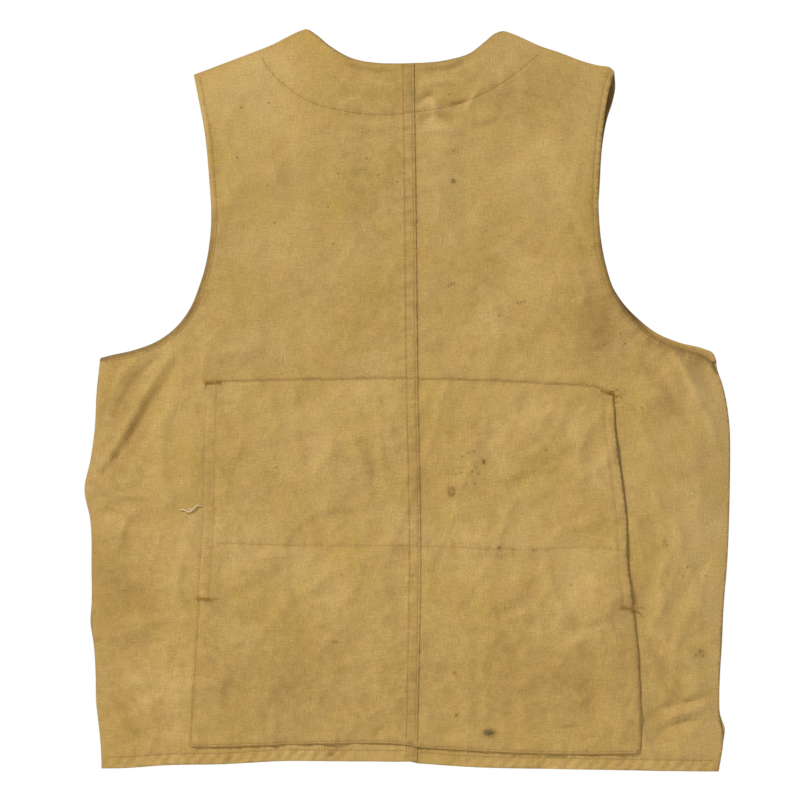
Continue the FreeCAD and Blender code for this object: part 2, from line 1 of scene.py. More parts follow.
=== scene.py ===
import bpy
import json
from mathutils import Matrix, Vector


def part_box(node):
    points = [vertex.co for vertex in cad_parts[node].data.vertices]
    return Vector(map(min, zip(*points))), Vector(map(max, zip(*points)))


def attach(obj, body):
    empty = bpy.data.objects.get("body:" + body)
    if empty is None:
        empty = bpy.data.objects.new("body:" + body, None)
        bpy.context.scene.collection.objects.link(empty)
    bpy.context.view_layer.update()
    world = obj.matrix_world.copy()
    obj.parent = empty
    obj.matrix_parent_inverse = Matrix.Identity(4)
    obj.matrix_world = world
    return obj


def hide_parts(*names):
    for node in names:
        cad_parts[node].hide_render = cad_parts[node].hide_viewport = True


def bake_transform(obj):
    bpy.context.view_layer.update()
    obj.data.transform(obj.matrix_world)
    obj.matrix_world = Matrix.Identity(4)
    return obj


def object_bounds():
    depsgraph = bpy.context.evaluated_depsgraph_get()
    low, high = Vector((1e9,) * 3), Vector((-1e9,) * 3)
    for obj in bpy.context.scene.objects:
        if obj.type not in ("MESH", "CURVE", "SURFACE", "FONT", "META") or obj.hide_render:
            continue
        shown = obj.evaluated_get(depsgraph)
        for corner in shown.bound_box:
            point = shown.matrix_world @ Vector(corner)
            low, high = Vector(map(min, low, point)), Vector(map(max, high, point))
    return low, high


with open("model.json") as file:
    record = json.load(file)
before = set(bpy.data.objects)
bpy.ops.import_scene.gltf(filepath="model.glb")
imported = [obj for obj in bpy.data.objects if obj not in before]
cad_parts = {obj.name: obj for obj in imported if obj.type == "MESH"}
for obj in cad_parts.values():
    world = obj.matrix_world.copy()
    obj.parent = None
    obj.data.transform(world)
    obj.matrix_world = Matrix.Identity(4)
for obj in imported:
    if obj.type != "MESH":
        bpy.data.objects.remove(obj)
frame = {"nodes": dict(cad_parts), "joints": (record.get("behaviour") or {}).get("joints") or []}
CAD_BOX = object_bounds()
JOINTS = {joint["name"]: joint for joint in frame["joints"]}

import json
import math

import bpy
import numpy as np
from mathutils import Vector
from mathutils.geometry import delaunay_2d_cdt
from mathutils.kdtree import KDTree

# The vest seen flat: x to the wearer's left and z up, in millimetres from the middle of the neck
# points. Heights stand along y: the back's outer faces look towards +y and the fronts' towards -y.
# Meshes are made in metres.
MM = 0.001
BACK = 1
FRONT = -1
SIDES = {"left": 1, "right": -1}

CANVAS = 1.0
LINING = 0.7

# Cloth meshes: a hexagonal field of points, closer beside seams and spots.
FIELD_STEP = 2.8
ROW_OFFSETS = (-2.2, -0.9, 0.0, 0.9, 2.2)
ROW_STEP = 2.0
ROW_CLEAR = 3.2
RIM_STEP = 1.8
SPOT_RINGS = ((0.0, 1), (0.45, 6), (0.9, 9), (1.4, 10))

STITCH_PITCH = 2.5
STITCH_LENGTH = 1.45
STITCH_RADIUS = 0.3
STITCH_LIFT = 0.05


# ---------------------------------------------------------------- lines

def curve(points, step=3.0):
    """A smooth curve through the points, sampled about every step."""
    knots = np.array(points, float)
    gaps = np.linalg.norm(np.diff(knots, axis=0), axis=1)
    slopes = np.diff(knots, axis=0) / gaps[:, None]
    before, after = gaps[:-1, None], gaps[1:, None]
    inner = (slopes[1:] * before + slopes[:-1] * after) / (before + after)
    tangents = np.vstack([slopes[:1], inner, slopes[-1:]])
    runs = []
    for index, gap in enumerate(gaps):
        count = max(1, math.ceil(gap / step))
        t = (np.arange(count) / count)[:, None]
        runs.append(
            (2 * t**3 - 3 * t**2 + 1) * knots[index]
            + (t**3 - 2 * t**2 + t) * gap * tangents[index]
            + (3 * t**2 - 2 * t**3) * knots[index + 1]
            + (t**3 - t**2) * gap * tangents[index + 1]
        )
    return np.vstack(runs + [knots[-1:]])


def arc(start, end, rise, step=3.0):
    """A circle's arc from start to end that rises to the left of its chord."""
    start, end = np.array(start, float), np.array(end, float)
    chord = np.linalg.norm(end - start)
    radius = (chord**2 / 4 + rise**2) / (2 * rise)
    along = (end - start) / chord
    left = np.array([-along[1], along[0]])
    centre = (start + end) / 2 + left * (rise - radius)
    half = math.asin(chord / 2 / radius)
    angles = np.linspace(half, -half, math.ceil(2 * half * radius / step) + 1)
    return centre + radius * (np.cos(angles)[:, None] * left - np.sin(angles)[:, None] * along)


def respaced(line, step):
    """The same line with its points at equal spacing, as near to step as fits."""
    line = np.asarray(line, float)
    lengths = np.concatenate([[0], np.cumsum(np.linalg.norm(np.diff(line, axis=0), axis=1))])
    places = np.linspace(0, lengths[-1], max(2, round(lengths[-1] / step) + 1))
    return np.column_stack([np.interp(places, lengths, line[:, k]) for k in range(line.shape[1])])


def shifted(line, distance):
    """The line moved sideways, to its left for a positive distance."""
    line = np.asarray(line, float)
    along = np.gradient(line, axis=0)
    along /= np.linalg.norm(along, axis=1)[:, None]
    return line + distance * np.column_stack([-along[:, 1], along[:, 0]])


def closed(*runs):
    """A closed outline from runs that follow each other."""
    points = respaced(np.vstack(runs + (runs[0][:1],)), RIM_STEP)
    return points[:-1]


class Line:
    """A line on the cloth that distances are measured from."""

    def __init__(self, points, loop=False):
        points = np.asarray(points, float)
        if loop:
            points = np.vstack([points, points[:1]])
        self.points = respaced(points, 1.0)
        self.length = len(self.points) - 1.0
        self.tree = KDTree(len(self.points))
        for index, (x, z) in enumerate(self.points):
            self.tree.insert((x, z, 0), index)
        self.tree.balance()

    def measure(self, x, z, reach):
        """How far each place is to the left of the line, negative to its right, and where along it.

        Places further off than reach get reach itself.
        """
        low, high = self.points.min(0) - reach, self.points.max(0) + reach
        inside = (x > low[0]) & (x < high[0]) & (z > low[1]) & (z < high[1])
        offset, place = np.full(len(x), float(reach)), np.zeros(len(x))
        near = np.flatnonzero(inside)
        if not len(near):
            return offset, place
        find = self.tree.find
        found = np.array([find((x[i], z[i], 0))[1] for i in near])
        found = np.clip(found, 1, len(self.points) - 2)
        ahead = self.points[found + 1] - self.points[found - 1]
        ahead /= np.linalg.norm(ahead, axis=1)[:, None]
        apart = np.column_stack([x[near], z[near]]) - self.points[found]
        forward = (apart * ahead).sum(1)
        forward_most = np.where(found == len(self.points) - 2, 1.0, 0.5)
        forward_least = np.where(found == 1, -1.0, -0.5)
        beyond = forward - np.clip(forward, forward_least, forward_most)
        sideways = ahead[:, 0] * apart[:, 1] - ahead[:, 1] * apart[:, 0]
        distance = np.hypot(sideways, beyond)
        offset[near] = np.where(sideways < 0, -1, 1) * np.minimum(distance, reach)
        place[near] = found + forward
        return offset, place


def waves(x, z, length, seed, count=20):
    """A smooth random field of unit spread with waves of about one length."""
    random = np.random.RandomState(seed)
    total = np.zeros(np.shape(x))
    for _ in range(count):
        angle = random.uniform(0, 2 * math.pi)
        stretch = random.uniform(0.7, 1.5)
        phase = random.uniform(0, 7)
        rate = 2 * math.pi / (length * stretch)
        total += np.cos(rate * (x * math.cos(angle) + z * math.sin(angle)) + phase)
    return total * math.sqrt(2 / count)


def bell(distance, width):
    """1 at no distance, fading to nothing past a width."""
    return np.exp(-((distance / width) ** 2))


def creases(x, z, length, seed):
    """Narrow ridges along the level lines of a random field."""
    return bell(waves(x, z, length, seed), 0.45)


def mixed(field, x, z, *parts):
    """Several random fields added up: each part is a height, a length of wave and a seed."""
    return sum(height * field(x, z, length, seed) for height, length, seed in parts)


def ease(t):
    """From 0 to 1 as t goes from 0 to 1, with level ends."""
    t = np.clip(t, 0, 1)
    return t * t * (3 - 2 * t)


# ---------------------------------------------------------------- the vest's lines

# Side seams, from the armpit down to the hem.
SIDE_SEAMS = {
    "left": curve([
        (282.5, -302), (286, -335), (287.5, -366), (291.6, -396), (297, -423), (291.8, -450),
        (290.5, -500), (289.5, -550), (287.2, -580), (286, -600), (285.6, -617), (284, -635),
        (282.4, -654), (281.5, -672), (281.3, -680), (281, -720),
    ]),
    "right": curve([
        (283.4, -302), (285.4, -313), (289.8, -326), (296.4, -365), (297, -395), (296.6, -424),
        (294.4, -488), (289.4, -548), (287.3, -600), (287, -619), (287.8, -636), (290.4, -648),
        (290.3, -659), (288.4, -671), (286.6, -682.4), (286.6, -720),
    ]),
}
# Necks and shoulder seams, from the centre line out to the shoulder tips.
SHOULDERS = {
    "left": curve([
        (0, -32.2), (31, -31.2), (53, -26.6), (71, -16), (84, -4.8), (93, 0.6), (99, -1.2),
        (108, -5.4), (124, -13.6), (141, -20.4), (169, -31), (188, -38.2), (196.5, -41.4),
    ]),
    "right": curve([
        (0, -32), (36, -29.2), (57, -22.8), (72, -10.8), (80, -3.9), (87.6, -1.2), (95, -3),
        (103, -6.3), (122, -14.9), (141, -21.3), (162, -29.2), (176, -32.9), (187, -35), (190.5, -38.5),
    ]),
}
# Armholes, from the shoulder tips down to the side seams.
BACK_ARMHOLES = {
    "left": curve([
        (196.5, -41.4), (192.3, -61.6), (186.3, -92), (181.8, -135), (180, -185), (183.4, -211),
        (190.4, -236), (199.8, -258.2), (211.4, -273.4), (228.4, -286.2), (251, -294.8), (272, -299.4),
        (282.5, -302),
    ]),
    "right": curve([
        (190.5, -38.5), (184, -62), (179.4, -92), (176.2, -124), (175.4, -172), (177.5, -195),
        (181.8, -217), (188, -237), (196, -252), (210, -269), (223, -280), (240, -289.6),
        (258, -295), (271, -298.6), (279.5, -305), (284.7, -314),
    ]),
}
FRONT_ARMHOLES = {
    "left": curve([
        (196.5, -41.4), (190, -61.6), (183, -92), (177, -135), (176, -185), (179.4, -213),
        (187, -239), (199, -261), (212, -276), (229, -288), (252, -297), (270, -301), (282.5, -304),
    ]),
    "right": curve([
        (190.5, -38.5), (191.4, -54), (188.8, -67), (184.6, -80), (180, -105), (177.6, -140),
        (176, -175), (178.3, -202), (184, -224), (191.5, -240), (201, -253.6), (213.4, -266),
        (228, -277.6), (250, -287.4), (273, -293.4), (281, -297), (284.6, -305),
    ]),
}
# Hems, from the centre line out to the side seams.
HEMS = {
    "left": curve([
        (0, -671.8), (70, -671.4), (109, -671.1), (172, -674.2), (221, -675.4), (257, -678.5),
        (281.5, -679.6),
    ]),
    "right": curve([
        (0, -672.6), (12, -673.4), (49, -676.2), (150, -678.7), (205, -679.9), (286.6, -682.4),
    ]),
}
# The centre seam wanders a little as it goes down.
CENTRE_SEAM = curve([
    (0, -10), (0, -34), (-1.4, -150), (-3.2, -320), (-5.9, -488), (-4.5, -580), (-3.1, -647),
    (-2.6, -700),
])
# Each row of the seam is this far from its middle, and the left cloth laps this far over the right.
SEAM_ROW = 4.0
SEAM_LAP = 6.4


def on_side(side, points):
    """Points given for the wearer's left, placed on a side."""
    return np.asarray(points, float) * (SIDES[side], 1)


def side_at(side, z):
    """How far out the side seam is at a height."""
    line = SIDE_SEAMS[side]
    return np.interp(-z, -line[:, 1], line[:, 0])


def centre_at(z):
    """Where the centre seam is at a height."""
    return np.interp(-z, -CENTRE_SEAM[:, 1], CENTRE_SEAM[:, 0])


def shoulder_at(side, x):
    """Height of the shoulder seam, carried on in a round line past the neck."""
    line = SHOULDERS[side]
    seam = line[line[:, 0] > 100]
    reach = np.hypot(x, 30)
    outward = np.interp(reach, seam[:, 0], seam[:, 1])
    inward = seam[0, 1] + 0.4 * (seam[0, 0] - reach)
    return np.where(reach > seam[0, 0], outward, inward)


def crown(x, z, width, bulge=None):
    """0 at the side and shoulder seams, rising to 1 over a width."""
    rise = np.ones(len(x))
    for side, sign in SIDES.items():
        edge = side_at(side, z)
        if bulge is not None:
            edge = edge + bulge(side, z)
        inset = np.clip((edge - sign * x) / width, 0, 1)
        rise *= 1 - (1 - inset) ** 2
    seam = np.where(x > 0, shoulder_at("left", x), shoulder_at("right", -x))
    drop = np.clip(0.93 * (seam - z) / width, 0, 1)
    return rise * (1 - (1 - drop) ** 2)


# ---------------------------------------------------------------- folds, stains and rows

def folded(x, z, folds):
    """Height of soft folds, each a line, a height and a width; each fades out at its ends."""
    height = np.zeros(len(x))
    for line, rise, width in folds:
        offset, place = line.measure(x, z, 3 * width)
        along = np.sin(math.pi * np.clip(place / line.length, 0, 1)) ** 0.6
        crest = np.exp(-np.abs(offset) / (0.45 * width))
        height += rise * along * (0.6 * bell(offset, width) + 0.5 * crest)
    return height


def fold_lines(folds):
    return [(Line(curve(points)), rise, width) for points, rise, width in folds]


def patched(x, z, patches):
    """Tone of patches, each a centre, a reach across and down, and a strength; most are stains and fading, a
    few are painted light and shade.
    """
    tone_and_shading = np.zeros(len(x))
    for centre_x, centre_z, across, down, strength in patches:
        tone_and_shading += strength * np.exp(-(((x - centre_x) / across) ** 2) - ((z - centre_z) / down) ** 2)
    return tone_and_shading


def puckers(place, seed, length=8.0):
    """Uneven waves along a seam."""
    random = np.random.RandomState(seed)
    height = np.zeros(np.shape(place))
    for stretch in (0.75, 1.0, 1.37, 2.3):
        height += np.cos(2 * math.pi * place / (length * stretch) + random.uniform(0, 7))
    return height / 2.2


def relief(x, z, rows, edges, seed, pull=0.32):
    """What stitching and folded edges do to flat cloth: height, and how stained and how rubbed it is."""
    height = np.zeros(len(x))
    stain_and_shade = np.zeros(len(x))
    rub_and_light = np.zeros(len(x))
    for index, row in enumerate(rows):
        offset, place = row.measure(x, z, 18)
        near = bell(offset, 5.5)
        height += near * pull * puckers(place, seed + index) - 0.36 * bell(offset, 1.0)
        stain_and_shade = np.maximum(stain_and_shade, 0.22 * bell(offset, 0.8) + 0.10 * near)
    for index, edge in enumerate(edges):
        offset, place = edge.measure(x, z, 8)
        turned = bell(offset, 1.0)
        height -= 0.5 * turned
        rub_and_light = np.maximum(rub_and_light, bell(offset, 1.5) * (0.6 + 0.4 * puckers(place, seed + 50 + index, 11.0)))
    return height, stain_and_shade, rub_and_light


# ---------------------------------------------------------------- meshes

def hexagons(low, high, step):
    rows = np.arange(low[1], high[1], step * 0.866)
    columns = np.arange(low[0], high[0], step)
    x = np.tile(columns, len(rows)) + np.repeat((np.arange(len(rows)) % 2) * step / 2, len(columns))
    return np.column_stack([x, np.repeat(rows, len(columns))])


def clear_of(points, line, gap):
    """The points that lie at least a gap away from the line."""
    tree = KDTree(len(line))
    for index, (x, z) in enumerate(line):
        tree.insert((x, z, 0), index)
    tree.balance()
    find = tree.find
    return points[np.array([find((x, z, 0))[2] >= gap for x, z in points], bool)]


def within(points, outline):
    """Which points lie inside a closed outline."""
    inside = np.zeros(len(points), bool)
    for (x0, z0), (x1, z1) in zip(outline, np.roll(outline, -1, axis=0)):
        if z0 == z1:
            continue
        crosses = (points[:, 1] > min(z0, z1)) & (points[:, 1] <= max(z0, z1))
        inside ^= crosses & (points[:, 0] < x0 + (points[:, 1] - z0) * (x1 - x0) / (z1 - z0))
    return inside


def cloth_grid(outline, holes, lines, spots, step):
    """Points and triangles that fill an outline."""
    fixed = [outline] + list(holes)
    extra = []
    for line in lines:
        for offset in ROW_OFFSETS:
            extra.append(respaced(shifted(line.points, offset), ROW_STEP))
    for x, z in spots:
        for radius, count in SPOT_RINGS:
            turns = np.arange(count) * 2 * math.pi / count + radius
            extra.append(np.column_stack([x + radius * np.cos(turns), z + radius * np.sin(turns)]))
    field = hexagons(outline.min(0), outline.max(0), step)
    if lines:
        field = clear_of(field, np.vstack([line.points for line in lines]), ROW_CLEAR)
    loose = np.vstack([field] + extra)
    cells = np.unique(np.round(loose / 0.7).astype(int), axis=0, return_index=True)[1]
    loose = clear_of(loose[np.sort(cells)], respaced(np.vstack(fixed), 0.6), 0.7)
    points = np.vstack(fixed + [loose])
    edges = []
    start = 0
    for loop in fixed:
        count = len(loop)
        edges += [(start + k, start + (k + 1) % count) for k in range(count)]
        start += count
    result = delaunay_2d_cdt([Vector(p) for p in points], edges, [], 0, 1e-6, False)
    flat = np.array([tuple(v) for v in result[0]])
    triangles = np.array(result[2])
    centres = flat[triangles].mean(1)
    keep = within(centres, outline)
    for hole in holes:
        keep &= ~within(centres, hole)
    triangles = triangles[keep]
    used, packed = np.unique(triangles, return_inverse=True)
    return flat[used], packed.reshape(-1, 3)


def open_edges(triangles):
    """The edges that only one triangle has, in the direction in which it runs along them."""
    edges = np.vstack([triangles[:, [0, 1]], triangles[:, [1, 2]], triangles[:, [2, 0]]])
    ordered = np.sort(edges, axis=1)
    _, index, count = np.unique(ordered, axis=0, return_index=True, return_counts=True)
    return edges[index[count == 1]]


def point_normals(points, triangles):
    corners = points[triangles]
    faces = np.cross(corners[:, 1] - corners[:, 0], corners[:, 2] - corners[:, 0])
    normals = np.zeros_like(points)
    for k in range(3):
        np.add.at(normals, triangles[:, k], faces)
    return normals / np.maximum(np.linalg.norm(normals, axis=1), 1e-12)[:, None]


def new_mesh(name, points, faces, material, values=None):
    """A smooth mesh object; points in millimetres, values a dictionary of numbers for each point."""
    mesh = bpy.data.meshes.new(name)
    mesh.from_pydata((np.asarray(points) * MM).tolist(), [], faces)
    mesh.shade_smooth()
    for key, numbers in (values or {}).items():
        if np.ndim(numbers) == 2:
            layer = mesh.attributes.new(key, "FLOAT_VECTOR", "POINT")
            layer.data.foreach_set("vector", np.asarray(numbers, np.float32).ravel())
        else:
            layer = mesh.attributes.new(key, "FLOAT", "POINT")
            layer.data.foreach_set("value", np.asarray(numbers, np.float32))
    mesh.materials.append(material)
    piece = bpy.data.objects.new(name, mesh)
    bpy.context.scene.collection.objects.link(piece)
    return piece


def cloth(name, outline, surface, facing, material, thickness=CANVAS, holes=(), lines=(), spots=(),
          step=FIELD_STEP):
    """A sheet with a face, a back a thickness behind it, and a rim.

    surface(x, z) gives the face's points, with its stain, rub and tone, which carry painted light and shade
    as well as dirt and wear. facing is the face's direction along y, or a point that it looks away from.
    """
    flat, triangles = cloth_grid(outline, holes, lines, spots, step)
    face, stain_and_shade, rub_and_light, tone_and_shading = surface(flat[:, 0], flat[:, 1])
    mark = np.zeros(len(flat))
    for x, z in spots:
        mark = np.maximum(mark, 1 - ease(np.hypot(flat[:, 0] - x, flat[:, 1] - z) / 1.45))
    normals = point_normals(face, triangles)
    outward = face - facing if np.ndim(facing) else (0, facing, 0)
    if np.sum(normals * outward) < 0:
        triangles = triangles[:, ::-1]
        normals = -normals
    behind = face - normals * thickness
    count = len(face)
    rim = open_edges(triangles)
    faces = triangles.tolist()
    faces += (triangles[:, ::-1] + count).tolist()
    faces += [(b, a, a + count, b + count) for a, b in rim.tolist()]
    rest = np.column_stack([flat, np.zeros(count)])
    rest_behind = rest + (0, 0, 40)
    values = {
        "rest": np.vstack([rest, rest_behind]),
        "stain_and_shade": np.concatenate([stain_and_shade, 0.4 * stain_and_shade]),
        "rub_and_light": np.concatenate([rub_and_light, rub_and_light]),
        "tone_and_shading": np.concatenate([tone_and_shading, tone_and_shading]),
        "mark": np.concatenate([mark, 0 * mark]),
    }
    piece = new_mesh(name, np.vstack([face, behind]), faces, material, values)
    return piece


def joined(name, pieces):
    """Several meshes as one object."""
    target = pieces[0]
    with bpy.context.temp_override(active_object=target, selected_editable_objects=pieces):
        bpy.ops.object.join()
    target.name = name
    return target


def ring_faces(rings, sides):
    """The quads between each ring of points and the next."""
    faces = []
    for low in range(0, (rings - 1) * sides, sides):
        high = low + sides
        for k in range(sides):
            after = (k + 1) % sides
            faces.append((low + k, low + after, high + after, high + k))
    return faces


def end_faces(rings, sides):
    """The faces that close the first and the last ring."""
    return [tuple(range(sides))[::-1], tuple(range((rings - 1) * sides, rings * sides))]


# Four rings of five points each make one stitch.
STITCH_RINGS = ((-0.5, 0.25), (-0.32, 1.0), (0.32, 1.0), (0.5, 0.25))
STITCH_SIDES = 5


def stitch_points(start, end, up, radius):
    """Rings of points round one stitch from start to end."""
    along = end - start
    length = np.linalg.norm(along)
    along = along / length
    across = np.cross(along, up)
    across /= np.linalg.norm(across)
    raised = np.cross(across, along)
    turns = np.arange(STITCH_SIDES) * 2 * math.pi / STITCH_SIDES
    rings = []
    for place, width in STITCH_RINGS:
        middle = (start + end) / 2 + along * length * place
        around = np.cos(turns)[:, None] * across + np.sin(turns)[:, None] * raised
        rings.append(middle + around * radius * width)
    return np.vstack(rings)


STITCH_FACES = ring_faces(len(STITCH_RINGS), STITCH_SIDES) + end_faces(len(STITCH_RINGS), STITCH_SIDES)


def thread_mesh(name, bars, material):
    """One mesh of many short lengths of thread: each a start, an end, an up direction and a radius."""
    points, faces, rest = [], [], []
    for start, end, up, radius in bars:
        base = len(points) * len(STITCH_RINGS) * STITCH_SIDES
        points.append(stitch_points(start, end, up, radius))
        faces += [tuple(base + k for k in face) for face in STITCH_FACES]
        rest.append(np.tile(start * (1, 0, 0) + (0, start[2], 0), (len(points[-1]), 1)))
    return new_mesh(name, np.vstack(points), faces, material, {"rest": np.vstack(rest)})


def stitched(rows, surface, facing):
    """The stitches of some rows, lying on the cloth."""
    up = np.array([0.0, facing, 0.0])
    bars = []
    for row in rows:
        places = np.arange(STITCH_PITCH / 2, row.length - STITCH_PITCH / 2, STITCH_PITCH)
        known = np.arange(len(row.points))
        ends = []
        for shift in (-STITCH_LENGTH / 2, STITCH_LENGTH / 2):
            x = np.interp(places + shift, known, row.points[:, 0])
            z = np.interp(places + shift, known, row.points[:, 1])
            ends.append(surface(x, z)[0] + up * STITCH_LIFT)
        bars += [(start, end, up, STITCH_RADIUS) for start, end in zip(*ends)]
    return bars


def lathe(name, profile, centre, facing, material, sides=32):
    """A round piece turned about an axis along y: profile points are radius and height."""
    points = []
    turns = np.arange(sides) * 2 * math.pi / sides
    for radius, height in profile:
        points.append(np.column_stack([
            centre[0] + radius * np.cos(turns), np.full(sides, centre[1] + facing * height),
            centre[2] + radius * np.sin(turns),
        ]))
    faces = [face[::facing] for face in ring_faces(len(profile), sides)]
    return new_mesh(name, np.vstack(points), faces, material)


def tube(points, radius, sides=6):
    """Points and faces of a thread that follows a curve in space."""
    along = np.gradient(points, axis=0)
    along /= np.linalg.norm(along, axis=1)[:, None]
    across = np.cross(along, (0.0, 0.3, 1.0))
    across /= np.linalg.norm(across, axis=1)[:, None]
    raised = np.cross(across, along)
    turns = np.arange(sides) * 2 * math.pi / sides
    rings = [
        points + radius * (math.cos(turn) * across + math.sin(turn) * raised) for turn in turns
    ]
    verts = np.stack(rings, axis=1).reshape(-1, 3)
    return verts, ring_faces(len(points), sides) + end_faces(len(points), sides)


# ---------------------------------------------------------------- materials

class Shader:
    """A material whose nodes are added and linked by short calls."""

    def __init__(self, name, roughness, **sockets):
        self.material = bpy.data.materials.new(name)
        self.material.use_nodes = True
        self.tree = self.material.node_tree
        self.surface = self.tree.nodes["Principled BSDF"]
        self.surface.inputs["Roughness"].default_value = roughness
        for key, value in sockets.items():
            self.surface.inputs[key.replace("_", " ").title().replace("Ior", "IOR")].default_value = value

    def add(self, kind, settings=None, **inputs):
        node = self.tree.nodes.new("ShaderNode" + kind)
        for key, value in (settings or {}).items():
            setattr(node, key, value)
        for key, value in inputs.items():
            self.put(node, key, value)
        return node

    def put(self, node, key, value):
        socket = node.inputs[int(key[1:])] if key[0] == "i" and key[1:].isdigit() else node.inputs[key]
        if isinstance(value, bpy.types.NodeSocket):
            self.tree.links.new(value, socket)
        else:
            socket.default_value = value

    def attribute(self, name, output="Fac"):
        return self.add("Attribute", {"attribute_name": name}).outputs[output]

    def math(self, operation, a, b=0.0):
        return self.add("Math", {"operation": operation}, i0=a, i1=b).outputs[0]

    def noise(self, place, scale, detail=3.0, roughness=0.5):
        node = self.add("TexNoise", Vector=place, Scale=scale, Detail=detail, Roughness=roughness)
        return node.outputs["Fac"]

    def stretched(self, place, across, down):
        """The place scaled differently in x and z, for grain that runs along one thread."""
        return self.add("Mapping", Vector=place, Scale=(across, down, 1.0)).outputs[0]

    def range(self, value, low, high, to_low=0.0, to_high=1.0):
        node = self.add("MapRange", {"clamp": True})
        for key, number in (("Value", value), ("From Min", low), ("From Max", high),
                            ("To Min", to_low), ("To Max", to_high)):
            self.put(node, key, number)
        return node.outputs[0]

    def mix(self, factor, a, b, blend="MIX"):
        node = self.add("Mix", {"data_type": "RGBA", "blend_type": blend})
        for index, value in ((0, factor), (6, a), (7, b)):
            self.put(node, "i%d" % index, value)
        return node.outputs[2]

    def grey(self, value):
        return self.add("CombineColor", Red=value, Green=value, Blue=value).outputs[0]

    def bump(self, height, distance, strength=1.0):
        node = self.add("Bump", Height=height, Distance=distance, Strength=strength)
        self.put(self.surface, "Normal", node.outputs[0])

    def finish(self, colour, roughness=None):
        self.put(self.surface, "Base Color", colour)
        if roughness is not None:
            self.put(self.surface, "Roughness", roughness)
        return self.material


# Where canvas has bleached, and where it is stained through: soot in patches, rust in small spots. The
# bleached colour also takes painted light, and the soot colour painted shade.
BLEACHED_AND_LIT = (0.70, 0.51, 0.27, 1)
SOOT_AND_SHADE = (0.20, 0.135, 0.055, 1)
SPOT = (0.11, 0.065, 0.02, 1)


def canvas_material(name, pale, deep, rust, dirt_and_shade, seam, weave=0.62):
    """Faded cotton duck: plain weave, slubs, mottling, fading, seam dirt, rubbed folds and spots, with the
    painted light and shade that its point attributes carry.
    """
    shader = Shader(name, 0.9, sheen_weight=0.12, sheen_roughness=0.5, specular_ior_level=0.18)
    place = shader.attribute("rest", "Vector")
    rate = 2 * math.pi / weave / 20
    warp, weft = (
        shader.add("TexWave", {"bands_direction": axis}, Vector=place, Scale=rate, Distortion=1.2,
                   Detail=2.0, **{"Detail Scale": 1.5}).outputs["Fac"]
        for axis in "XY"
    )
    cross = shader.math("MULTIPLY", warp, weft)
    slub_down = shader.noise(shader.stretched(place, 1.1, 0.09), 1.0, 2.0)
    slub_across = shader.noise(shader.stretched(place, 0.09, 1.1), 1.0, 2.0)
    slubs = shader.math("MULTIPLY", shader.math("ADD", slub_down, slub_across), 0.5)
    fleck = shader.noise(place, 0.55, 4.0, 0.65)
    mottle = shader.noise(place, 0.11, 4.0, 0.6)
    cloud = shader.noise(place, 0.016, 3.0, 0.55)

    blush = shader.noise(place, 0.028, 4.0, 0.62)
    colour = shader.mix(shader.range(cloud, 0.3, 0.7), pale, deep)
    colour = shader.mix(shader.range(blush, 0.42, 0.70, 0.0, 0.5), colour, rust)
    # The tone attribute holds stains and fading, and also painted shade, which darkens toward the dirt and
    # soot colours, and painted light, which pales toward the bleached colour.
    patch = shader.math("ADD", shader.attribute("tone_and_shading"), shader.range(mottle, 0.25, 0.75, -0.26, 0.26))
    colour = shader.mix(shader.range(patch, 0.0, 1.0), colour, dirt_and_shade)
    colour = shader.mix(shader.range(shader.attribute("tone_and_shading"), 1.0, 2.0), colour, SOOT_AND_SHADE)
    # The stain attribute holds seam dirt, and also painted shade along edges, laps and facings.
    colour = shader.mix(shader.math("MULTIPLY", shader.attribute("stain_and_shade"), 0.75), colour, seam)
    fade = shader.range(shader.attribute("tone_and_shading"), -1.0, 0.0, 0.5, 0.0)
    colour = shader.mix(fade, colour, BLEACHED_AND_LIT)
    light = shader.range(slubs, 0.3, 0.7, 0.87, 1.13)
    for value, low, high, to_low, to_high in (
        (fleck, 0.25, 0.75, 0.81, 1.19),
        (cross, 0.0, 1.0, 0.93, 1.06),
        # Negative tone and the rub attribute brighten the cloth: fading and worn edges, and painted light.
        (shader.attribute("tone_and_shading"), -1.0, 0.0, 1.16, 1.0),
        (shader.attribute("rub_and_light"), 0.0, 1.0, 1.0, 1.12),
    ):
        light = shader.math("MULTIPLY", light, shader.range(value, low, high, to_low, to_high))
    colour = shader.mix(1.0, colour, shader.grey(light), "MULTIPLY")
    spots = shader.range(shader.attribute("mark"), 0.0, 1.0, 0.0, 0.78)
    colour = shader.mix(spots, colour, SPOT)

    wrinkles = shader.add("TexNoise", {"noise_type": "RIDGED_MULTIFRACTAL"}, Vector=place, Scale=0.022,
                          Detail=3.0, Roughness=0.5, Lacunarity=2.2).outputs["Fac"]
    height = shader.math("MULTIPLY", cross, 0.5)
    for value, share in ((slubs, 1.1), (fleck, 0.9), (wrinkles, 4.0)):
        height = shader.math("ADD", height, shader.math("MULTIPLY", value, share))
    shader.bump(height, 0.00045, 0.9)
    return shader.finish(colour, shader.range(fleck, 0.2, 0.8, 0.84, 0.97))


def thread_material(name, light, dark):
    """Twisted cotton thread with a slight shine."""
    shader = Shader(name, 0.7, sheen_weight=0.2, specular_ior_level=0.3)
    place = shader.attribute("rest", "Vector")
    fade = shader.noise(place, 0.35, 2.0)
    fibre = shader.noise(place, 3.0, 2.0)
    colour = shader.mix(shader.range(fade, 0.35, 0.65), dark, light)
    colour = shader.mix(1.0, colour, shader.grey(shader.range(fibre, 0.2, 0.8, 0.75, 1.2)), "MULTIPLY")
    shader.bump(fibre, 0.0002, 0.6)
    return shader.finish(colour)


